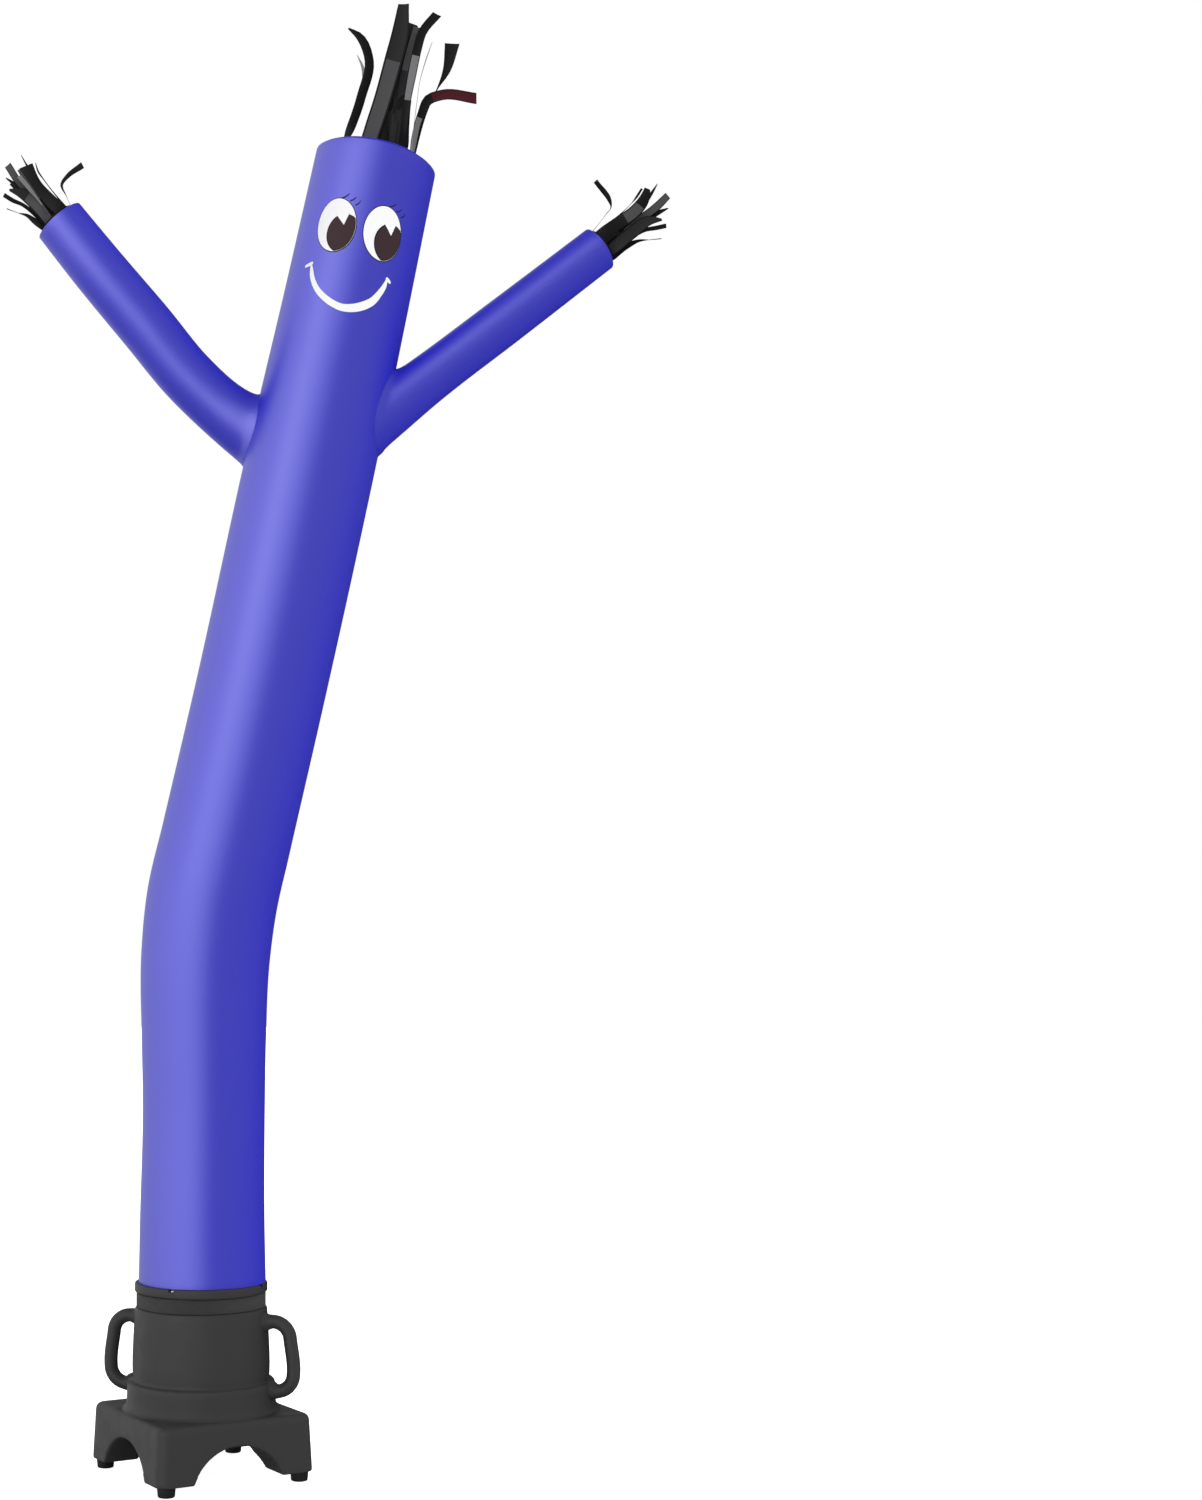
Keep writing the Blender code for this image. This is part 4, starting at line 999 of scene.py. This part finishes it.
def block_shape(low, high, bevel, segments, only=None):
    """Box between two corners with rounded edges."""
    low = Vector(low)
    high = Vector(high)
    shape = bmesh.new()
    bmesh.ops.create_cube(shape, size=1.0)
    bmesh.ops.scale(shape, vec=high - low, verts=shape.verts)
    bmesh.ops.translate(shape, vec=(high + low) / 2, verts=shape.verts)
    edges = [edge for edge in shape.edges if only is None or only(edge)]
    bmesh.ops.bevel(shape, geom=edges, offset=bevel, segments=segments, profile=0.5,
                    affect="EDGES", material=-1)
    return shape


def joined(shapes):
    """Several shapes as one."""
    whole = bmesh.new()
    for shape in shapes:
        part_mesh = bpy.data.meshes.new("part")
        shape.to_mesh(part_mesh)
        shape.free()
        whole.from_mesh(part_mesh)
        bpy.data.meshes.remove(part_mesh)
    return whole


def worked(shape, steps):
    """A shape after Boolean, Remesh and Smooth steps, given as (kind, settings, cutter)."""
    mesh = bpy.data.meshes.new("worked")
    shape.to_mesh(mesh)
    shape.free()
    holder = bpy.data.objects.new("worked", mesh)
    bpy.context.scene.collection.objects.link(holder)
    helpers = []
    for kind, settings, cutter in steps:
        step = holder.modifiers.new(kind.lower(), kind)
        for key, value in settings.items():
            setattr(step, key, value)
        if cutter is not None:
            cutter_mesh = bpy.data.meshes.new("cutter")
            cutter.to_mesh(cutter_mesh)
            cutter.free()
            helper = bpy.data.objects.new("cutter", cutter_mesh)
            bpy.context.scene.collection.objects.link(helper)
            step.object = helper
            helpers.append(helper)
    bpy.context.view_layer.update()
    graph = bpy.context.evaluated_depsgraph_get()
    result = bpy.data.meshes.new_from_object(holder.evaluated_get(graph))
    done = bmesh.new()
    done.from_mesh(result)
    bpy.data.meshes.remove(result)
    for helper in helpers + [holder]:
        spent = helper.data
        bpy.data.objects.remove(helper)
        bpy.data.meshes.remove(spent)
    return done


def moved(shape, matrix):
    bmesh.ops.transform(shape, matrix=matrix, verts=shape.verts)
    return shape


black_plastic = matt_plastic("black_moulded_plastic", (0.040, 0.040, 0.041), 0.50, 0.25)

pad_shape = block_shape(PAD[0], PAD[1], PAD_CORNER, 6,
                        lambda e: abs(e.verts[0].co.y - e.verts[1].co.y) > 0.01)
face_edges = [edge for edge in pad_shape.edges
              if all(vert.co.y > PAD[1][1] - 0.0001 for vert in edge.verts)]
bmesh.ops.bevel(pad_shape, geom=face_edges, offset=PAD_EDGE, segments=4, profile=0.5,
                affect="EDGES", material=-1)
bore_shape = bmesh.new()
bmesh.ops.create_cone(bore_shape, cap_ends=True, segments=96, radius1=0.1052, radius2=0.1052,
                      depth=0.3, matrix=Matrix.Translation((0, 0, 0.25)))
pad_shape = worked(pad_shape, [("BOOLEAN", {"operation": "DIFFERENCE", "solver": "EXACT"},
                                bore_shape)])
housing_shape = joined([spun_shape(HOUSING_SIDE + HOUSING_BORE, 128), pad_shape])
finished_piece("housing", moved(housing_shape, BLOWER), black_plastic, "dancer",
               ["housing"], sharp=50.0)

base_shape = bmesh.new()
bmesh.ops.create_cube(base_shape, size=2.0)
for vert in base_shape.verts:
    upper = vert.co.z > 0
    half = BASE_HALF[0] if upper else BASE_HALF[1]
    vert.co = (vert.co.x * half, vert.co.y * half, BASE_LEVELS[0] if upper else BASE_LEVELS[1])
upright = [edge for edge in base_shape.edges
           if abs(edge.verts[0].co.z - edge.verts[1].co.z) > 0.01]
bmesh.ops.bevel(base_shape, geom=upright, offset=BASE_CORNER, segments=8, profile=0.5,
                affect="EDGES", material=-1)
upper_rim = [edge for edge in base_shape.edges
             if all(vert.co.z > BASE_LEVELS[0] - 0.001 for vert in edge.verts)]
bmesh.ops.bevel(base_shape, geom=upper_rim, offset=BASE_EDGE, segments=6, profile=0.5,
                affect="EDGES", material=-1)
tunnels = []
for turn in (0, 90):
    tunnel = bmesh.new()
    bmesh.ops.create_cone(tunnel, cap_ends=True, segments=96, radius1=ARCH[0],
                          radius2=ARCH[0], depth=0.5,
                          matrix=Matrix.Translation((0, 0, ARCH[1] - ARCH[0]))
                          @ Matrix.Rotation(math.radians(turn), 4, "Z")
                          @ Matrix.Rotation(math.radians(90), 4, "Y"))
    tunnels.append(tunnel)
inlet_shape = bmesh.new()
bmesh.ops.create_cone(inlet_shape, cap_ends=True, segments=90, radius1=INLET_RADIUS,
                      radius2=INLET_RADIUS, depth=0.3)
cuts = [("BOOLEAN", {"operation": "DIFFERENCE", "solver": "EXACT"}, cutter)
        for cutter in [inlet_shape] + tunnels]
base_shape = worked(base_shape, cuts + [
    ("REMESH", {"mode": "VOXEL", "voxel_size": 0.0026, "use_smooth_shade": True}, None),
    ("SMOOTH", {"factor": 0.5, "iterations": 7}, None)])
base_turn = Matrix.Rotation(math.radians(45), 4, "Z")
finished_piece("base", moved(base_shape, BLOWER @ base_turn), black_plastic, "dancer",
               ["base"], sharp=70.0)

radius, top, bottom, out_top, out_bottom, bend = HANDLE
for name, sign in (("handle_right", 1), ("handle_left", -1)):
    route = [(0.1130, top - 0.0020), (0.1220, top - 0.0014), (0.1290, top - 0.0008)]
    for step in range(9):
        turn = math.radians(90 - 88 * step / 8)
        route.append((out_top - bend + bend * math.cos(turn),
                      top - bend + bend * math.sin(turn)))
    for step in range(9):
        turn = math.radians(-90 * step / 8)
        route.append((out_bottom - bend + bend * math.cos(turn),
                      bottom + bend + bend * math.sin(turn)))
    route += [(0.1370, bottom + 0.0008), (0.1300, bottom + 0.0014), (0.1200, bottom + 0.0020)]
    rows = []
    for x, z in route:
        gap = x - (0.1215 if z > 0.22 else 0.1345)
        flare = max(0.0, 1.0 - max(gap, 0.0) / HANDLE_FLARE[1])
        rows.append((x, 0.0, z, 2 * radius * (1 + (HANDLE_FLARE[0] - 1) * flare ** 2)))
    handle_shape = sleeve_shape(ring_frames(rows, 56), 28)
    bmesh.ops.holes_fill(handle_shape, edges=handle_shape.edges, sides=0)
    bmesh.ops.recalc_face_normals(handle_shape, faces=handle_shape.faces)
    turn = Matrix.Rotation(0.0 if sign > 0 else math.pi, 4, "Z")
    finished_piece(name, moved(handle_shape, BLOWER @ turn), black_plastic, "dancer",
                   [name], sharp=80.0)

# ---------------------------------------------------------------- rubber feet
# Four short rubber studs pushed into the base's corners, slightly tapered.
foot_rubber = matt_plastic("black_foot_rubber", (0.016, 0.016, 0.016), 0.62, 0.30)
FOOT_OUTLINE = ((0.0003, 0.0), (0.0125, 0.0), (0.0142, 0.0005), (0.0151, 0.0018),
                (0.0163, 0.0150), (0.0165, 0.0185), (0.0003, 0.0185))
for index, name in enumerate(("foot_right", "foot_back", "foot_left", "foot_front")):
    turn = math.radians(90 * index)
    stand = Matrix.Translation((0.186 * math.cos(turn), 0.186 * math.sin(turn), 0.0))
    finished_piece(name, moved(spun_shape(FOOT_OUTLINE, 40), BLOWER @ stand), foot_rubber,
                   "dancer", [name], sharp=50.0)

# ---------------------------------------------------------------- cap ring, screws, guard
# The cap ring is moulded in the same plastic and screwed on the neck through four notches
# in its top. A guard of bright steel wire lies inside it.
RING_OUTLINE = ((0.1180, 0.3500), (0.1192, 0.3496), (0.1201, 0.3486), (0.1205, 0.3472),
                (0.1205, 0.3362), (0.1201, 0.3346), (0.1192, 0.3337), (0.1180, 0.3333),
                (0.1005, 0.3333), (0.1005, 0.3430), (0.1009, 0.3433), (0.1068, 0.3433),
                (0.1068, 0.3493), (0.1072, 0.3500))
NOTCH = (0.0150, 0.0135, 0.0045)
RING_SCREWS = (-97.0, -7.0, 83.0, 173.0)
notch_cuts = []
for turn in RING_SCREWS:
    notch = block_shape((-NOTCH[0] / 2, -NOTCH[1] / 2, 0.350 - NOTCH[2]),
                        (NOTCH[0] / 2, NOTCH[1] / 2, 0.356), 0.0012, 3,
                        lambda e: abs(e.verts[0].co.z - e.verts[1].co.z) > 0.003)
    moved(notch, Matrix.Rotation(math.radians(turn), 4, "Z")
          @ Matrix.Translation((0.1165, 0, 0)))
    notch_cuts.append(("BOOLEAN", {"operation": "DIFFERENCE", "solver": "EXACT"}, notch))
ring_shape = worked(spun_shape(RING_OUTLINE, 144), notch_cuts)
finished_piece("cap_ring", moved(ring_shape, BLOWER), black_plastic, "dancer",
               ["cap_ring"], sharp=42.0)

bright_steel, shader = new_material("bright_steel")
set_inputs(shader, {"Base Color": (0.60, 0.60, 0.59, 1.0), "Metallic": 0.6})
give_grain(bright_steel.node_tree, 2500.0, 0.06, 0.34)


def screw_shape(radius, height):
    """Pan head screw with a cross recess, its seat at z = 0."""
    outline = [(0.00002, height), (radius * 0.42, height * 0.96), (radius * 0.72, height * 0.82),
               (radius * 0.90, height * 0.58), (radius * 0.99, height * 0.28),
               (radius, 0.0), (0.00002, 0.0)]
    head = spun_shape(outline, 32)
    crosses = []
    for turn in (0, 90):
        bar = block_shape((-radius * 0.56, -radius * 0.13, height * 0.30),
                          (radius * 0.56, radius * 0.13, height * 1.5), 0.0001, 1)
        moved(bar, Matrix.Rotation(math.radians(turn + 20), 4, "Z"))
        crosses.append(("BOOLEAN", {"operation": "DIFFERENCE", "solver": "EXACT"}, bar))
    return worked(head, crosses)


for index, turn in enumerate(RING_SCREWS):
    heading = math.radians(turn)
    seat = Matrix.Translation((0.1135 * math.cos(heading), 0.1135 * math.sin(heading), 0.3458))
    finished_piece(f"ring_screw_{index + 1}",
                   moved(screw_shape(0.0043, 0.0024),
                         BLOWER @ seat @ Matrix.Rotation(heading, 4, "Z")),
                   bright_steel, "dancer", [f"ring_screw_{index + 1}"], sharp=35.0)

wires = []
for radius in (0.032, 0.068, 0.1035):
    wires.append(spun_shape([(radius + 0.0015 * math.cos(math.radians(turn)),
                              0.3450 + 0.0015 * math.sin(math.radians(turn)))
                             for turn in range(0, 360, 45)], 72))
for turn in (45, 135):
    bar = bmesh.new()
    bmesh.ops.create_cone(bar, cap_ends=True, segments=12, radius1=0.0014, radius2=0.0014,
                          depth=0.2070, matrix=Matrix.Translation((0, 0, 0.3444))
                          @ Matrix.Rotation(math.radians(turn), 4, "Z")
                          @ Matrix.Rotation(math.radians(90), 4, "Y"))
    wires.append(bar)
finished_piece("outlet_guard", moved(joined(wires), BLOWER), bright_steel, "dancer",
               ["outlet_guard"], sharp=60.0)

# ---------------------------------------------------------------- hook-and-loop band
# Woven tape with a short dark pile, glued round the neck. Its two edges are bound, a
# little frayed, and a small white thread marks where the cloth tube starts.
BAND_OUTLINE = ((0.1138, 0.3325), (0.1166, 0.3325), (0.1173, 0.3318), (0.1175, 0.3306),
                (0.1172, 0.3296), (0.1175, 0.3286), (0.1175, 0.3106), (0.1172, 0.3096),
                (0.1175, 0.3086), (0.1173, 0.3074), (0.1166, 0.3066), (0.1138, 0.3066))
tape, shader = new_material("hook_loop_tape")
tree = tape.node_tree
set_inputs(shader, {"Roughness": 0.85, "Sheen Weight": 0.12, "Sheen Roughness": 0.6})
tape_place = node_of(tree, "ShaderNodeUVMap", uv_map="cloth")
pile = node_of(tree, "ShaderNodeTexNoise", {"Scale": 1600.0, "Detail": 3.0})
link(tape_place, "UV", pile, "Vector")
cords = node_of(tree, "ShaderNodeGroup", {"Pitch Across": 0.0011, "Pitch Along": 0.0013},
                node_tree=thread_grid)
link(tape_place, "UV", cords, "Place")
height_sum = node_of(tree, "ShaderNodeMath", operation="ADD")
link(cords, "Height", height_sum, 0)
link(pile, "Fac", height_sum, 1)
pile_bump = node_of(tree, "ShaderNodeBump", {"Strength": 0.9, "Distance": 0.0005})
link(height_sum, "Value", pile_bump, "Height")
link(pile_bump, "Normal", shader, "Normal")
tint = node_of(tree, "ShaderNodeValToRGB")
tint.color_ramp.elements[0].position = 0.35
tint.color_ramp.elements[0].color = (0.012, 0.012, 0.013, 1.0)
tint.color_ramp.elements[1].position = 0.75
tint.color_ramp.elements[1].color = (0.046, 0.046, 0.050, 1.0)
link(pile, "Fac", tint, "Fac")
link(tint, "Color", shader, "Base Color")
band_shape = spun_shape(BAND_OUTLINE, 128)
band_uv = band_shape.loops.layers.uv.new("cloth")
for face in band_shape.faces:
    middle = face.calc_center_median()
    for loop in face.loops:
        turn = math.atan2(loop.vert.co.y, loop.vert.co.x)
        if middle.x < 0 and middle.y > 0 and turn < 0:
            turn += 2 * math.pi
        if middle.x < 0 and middle.y < 0 and turn > 0:
            turn -= 2 * math.pi
        loop[band_uv].uv = (turn * 0.1175, loop.vert.co.z)
finished_piece("hook_loop_band", moved(band_shape, BLOWER), tape, "dancer",
               ["hook_loop_band"], sharp=60.0)
mark_turn = Matrix.Rotation(math.radians(122), 4, "Z")
mark = block_shape((0.1173, -0.0008, 0.3130), (0.1179, 0.0008, 0.3260), 0.0003, 2)
thread = print_ink("white_thread", (0.75, 0.75, 0.74))
finished_piece("band_mark", moved(mark, BLOWER @ mark_turn), thread, "dancer", [])

# ---------------------------------------------------------------- control cover
# A screwed cover moulded in one: a flange, a deep hood over the wiring and the shallower
# switch box under it, all with soft edges.
COVER_FACE = 0.1283
flange = block_shape((-0.0500, COVER_FACE, 0.1865), (0.0500, COVER_FACE + 0.0030, 0.2895),
                     0.0050, 5, lambda e: abs(e.verts[0].co.y - e.verts[1].co.y) > 0.001)
hood = block_shape((-0.0410, COVER_FACE + 0.0008, 0.2270), (0.0410, COVER_FACE + 0.047, 0.2770),
                   0.0080, 6)
switch_box = block_shape((-0.0403, COVER_FACE + 0.0008, 0.1940),
                         (0.0403, COVER_FACE + 0.036, 0.2490), 0.0070, 6)
for shape, narrow in ((hood, 0.955), (switch_box, 0.965)):
    for vert in shape.verts:
        share = (vert.co.y - COVER_FACE) / 0.047
        vert.co.x *= 1.0 + (narrow - 1.0) * share
well = block_shape((-0.0185, COVER_FACE + 0.023, 0.1975), (0.0065, COVER_FACE + 0.050, 0.2235),
                   0.0010, 2)
EXACT = {"solver": "EXACT"}
cover_shape = worked(flange, [
    ("BOOLEAN", {"operation": "UNION", **EXACT}, hood),
    ("BOOLEAN", {"operation": "UNION", **EXACT}, switch_box),
    ("REMESH", {"mode": "VOXEL", "voxel_size": 0.0010, "use_smooth_shade": True}, None),
    ("SMOOTH", {"factor": 0.5, "iterations": 5}, None),
    ("BOOLEAN", {"operation": "DIFFERENCE", **EXACT}, well)])
finished_piece("control_cover", moved(cover_shape, BLOWER), black_plastic, "dancer",
               ["control_cover"], sharp=55.0)

for index, (x, z) in enumerate(((-0.0435, 0.2825), (0.0435, 0.2825), (0.0435, 0.1935),
                                (-0.0435, 0.1935))):
    seat = Matrix.Translation((x, 0.1316, z)) @ Matrix.Rotation(math.radians(-90), 4, "X")
    finished_piece(f"cover_screw_{index + 1}", moved(screw_shape(0.0043, 0.0024), BLOWER @ seat),
                   bright_steel, "dancer", [f"cover_screw_{index + 1}"], sharp=35.0)

# ---------------------------------------------------------------- switch
# A glossy black bezel snapped into the cover. The green rocker turns in it about an
# upright pin, pressed in on its ON side, under a soft clear green splash cover.
SWITCH = (-0.0060, 0.1646, 0.2105)    # middle of the bezel's back
glossy_black = matt_plastic("glossy_black_plastic", (0.006, 0.006, 0.007), 0.16, 0.02)
bezel_shape = block_shape((-0.0148, 0.0, -0.0148), (0.0148, 0.0036, 0.0148), 0.0026, 5,
                          lambda e: abs(e.verts[0].co.y - e.verts[1].co.y) > 0.001)
front_rim = [edge for edge in bezel_shape.edges
             if all(vert.co.y > 0.0035 for vert in edge.verts)]
bmesh.ops.bevel(bezel_shape, geom=front_rim, offset=0.0014, segments=4, profile=0.5,
                affect="EDGES", material=-1)
window = block_shape((-0.0098, -0.004, -0.0118), (0.0098, 0.008, 0.0118), 0.0008, 2,
                     lambda e: abs(e.verts[0].co.y - e.verts[1].co.y) > 0.001)
bezel_shape = worked(bezel_shape, [("BOOLEAN", {"operation": "DIFFERENCE", **EXACT}, window)])
finished_piece("switch_bezel", moved(bezel_shape, BLOWER @ Matrix.Translation(SWITCH)),
               glossy_black, "dancer", ["switch_bezel"], sharp=35.0)

green_lens = matt_plastic("green_rocker_lens", (0.003, 0.034, 0.018), 0.20, 0.02)
bright_lens = matt_plastic("bright_green_lens", (0.012, 0.230, 0.105), 0.24, 0.02)
rocker_axis = Matrix.Translation((SWITCH[0], SWITCH[1] - 0.0010, SWITCH[2]))
rocker_place = BLOWER @ rocker_axis @ Matrix.Rotation(math.radians(-7), 4, "Z")
rocker_shape = bmesh.new()
bmesh.ops.create_cube(rocker_shape, size=2.0)
for vert in rocker_shape.verts:
    vert.co = (vert.co.x * (0.0091 if vert.co.y > 0 else 0.0068), vert.co.y * 0.0030,
               vert.co.z * 0.0111)
bmesh.ops.bevel(rocker_shape, geom=list(rocker_shape.edges), offset=0.0009, segments=4,
                profile=0.5, affect="EDGES", material=-1)
finished_piece("switch_rocker", moved(rocker_shape, rocker_place), green_lens, "rocker",
               ["switch_rocker"], sharp=35.0)
pad_shape = block_shape((-0.0072, 0.0028, -0.0082), (0.0072, 0.0034, 0.0082), 0.0003, 3)
finished_piece("rocker_pad", moved(pad_shape, rocker_place), bright_lens, "rocker", [])
mark_ink = print_ink("white_mark_ink", (0.95, 0.97, 0.96))
mark_shape = joined([
    moved(spun_shape([(0.0018, 0.0), (0.0024, 0.0), (0.0024, 0.0003), (0.0018, 0.0003)], 40),
          Matrix.Translation((-0.0052, 0.0033, 0.0)) @ Matrix.Rotation(-math.pi / 2, 4, "X")),
    block_shape((0.0022, 0.0032, -0.0004), (0.0070, 0.0036, 0.0004), 0.0001, 1)])
finished_piece("rocker_marks", moved(mark_shape, rocker_place), mark_ink, "rocker", [])

splash, shader = new_material("green_splash_film")
set_inputs(shader, {"Base Color": (0.010, 0.090, 0.045, 1.0), "Roughness": 0.12, "Alpha": 0.16})
splash_shape = bmesh.new()
bmesh.ops.create_grid(splash_shape, x_segments=24, y_segments=24, size=1.0)
for vert in splash_shape.verts:
    x, z = vert.co.x, vert.co.y
    dome = max((1 - x ** 4) * (1 - z ** 4), 0.0)
    vert.co = (x * 0.0121 * (1 - 0.10 * z ** 4), 0.0037 + 0.0036 * dome ** 0.35,
               z * 0.0131 * (1 - 0.10 * x ** 4))
bmesh.ops.reverse_faces(splash_shape, faces=list(splash_shape.faces))
splash_cover = finished_piece("splash_cover",
                              moved(splash_shape, BLOWER @ Matrix.Translation(SWITCH)),
                              splash, "dancer", [])
thicken(splash_cover, 0.0004)

# ---------------------------------------------------------------- cable gland
# A plated gland under the switch box: a ribbed ring, a hexagon nut and a domed cap.
gland_place = BLOWER @ Matrix.Translation((0.0140, 0.14672, 0.0))
ring_grip = bmesh.new()
bmesh.ops.create_circle(ring_grip, cap_ends=True, segments=96, radius=1.0,
                        matrix=Matrix.Translation((0, 0, 0.1877)))
for step, vert in enumerate(ring_grip.verts):
    vert.co.xy *= 0.0100 if step % 4 < 2 else 0.0094
swept = bmesh.ops.extrude_face_region(ring_grip, geom=list(ring_grip.faces))["geom"]
bmesh.ops.translate(ring_grip, vec=(0, 0, 0.0060),
                    verts=[part for part in swept if isinstance(part, bmesh.types.BMVert)])
bmesh.ops.recalc_face_normals(ring_grip, faces=ring_grip.faces)
collar = spun_shape([(0.0003, 0.1874), (0.0082, 0.1874), (0.0090, 0.1878), (0.0003, 0.1880)], 40)
dull_steel, shader = new_material("dull_steel")
set_inputs(shader, {"Base Color": (0.42, 0.42, 0.42, 1.0), "Metallic": 0.6})
give_grain(dull_steel.node_tree, 2500.0, 0.10, 0.38)
finished_piece("gland_ring", moved(joined([ring_grip, collar]), gland_place), dull_steel,
               "dancer", ["gland_ring"], sharp=30.0)
nut_shape = bmesh.new()
bmesh.ops.create_cone(nut_shape, cap_ends=True, segments=6, radius1=0.0108, radius2=0.0108,
                      depth=0.0085, matrix=Matrix.Translation((0, 0, 0.18295)))
bmesh.ops.bevel(nut_shape, geom=list(nut_shape.edges), offset=0.0007, segments=3, profile=0.5,
                affect="EDGES", material=-1)
cap_outline = ((0.0032, 0.1792), (0.0095, 0.1792), (0.0094, 0.1778), (0.0086, 0.1760),
               (0.0072, 0.1748), (0.0056, 0.1743), (0.0046, 0.1744), (0.0038, 0.1752),
               (0.0035, 0.1764), (0.0032, 0.1780))
finished_piece("gland_nut", moved(joined([nut_shape, spun_shape(cap_outline, 48)]), gland_place),
               bright_steel, "dancer", ["gland_nut"], sharp=35.0)
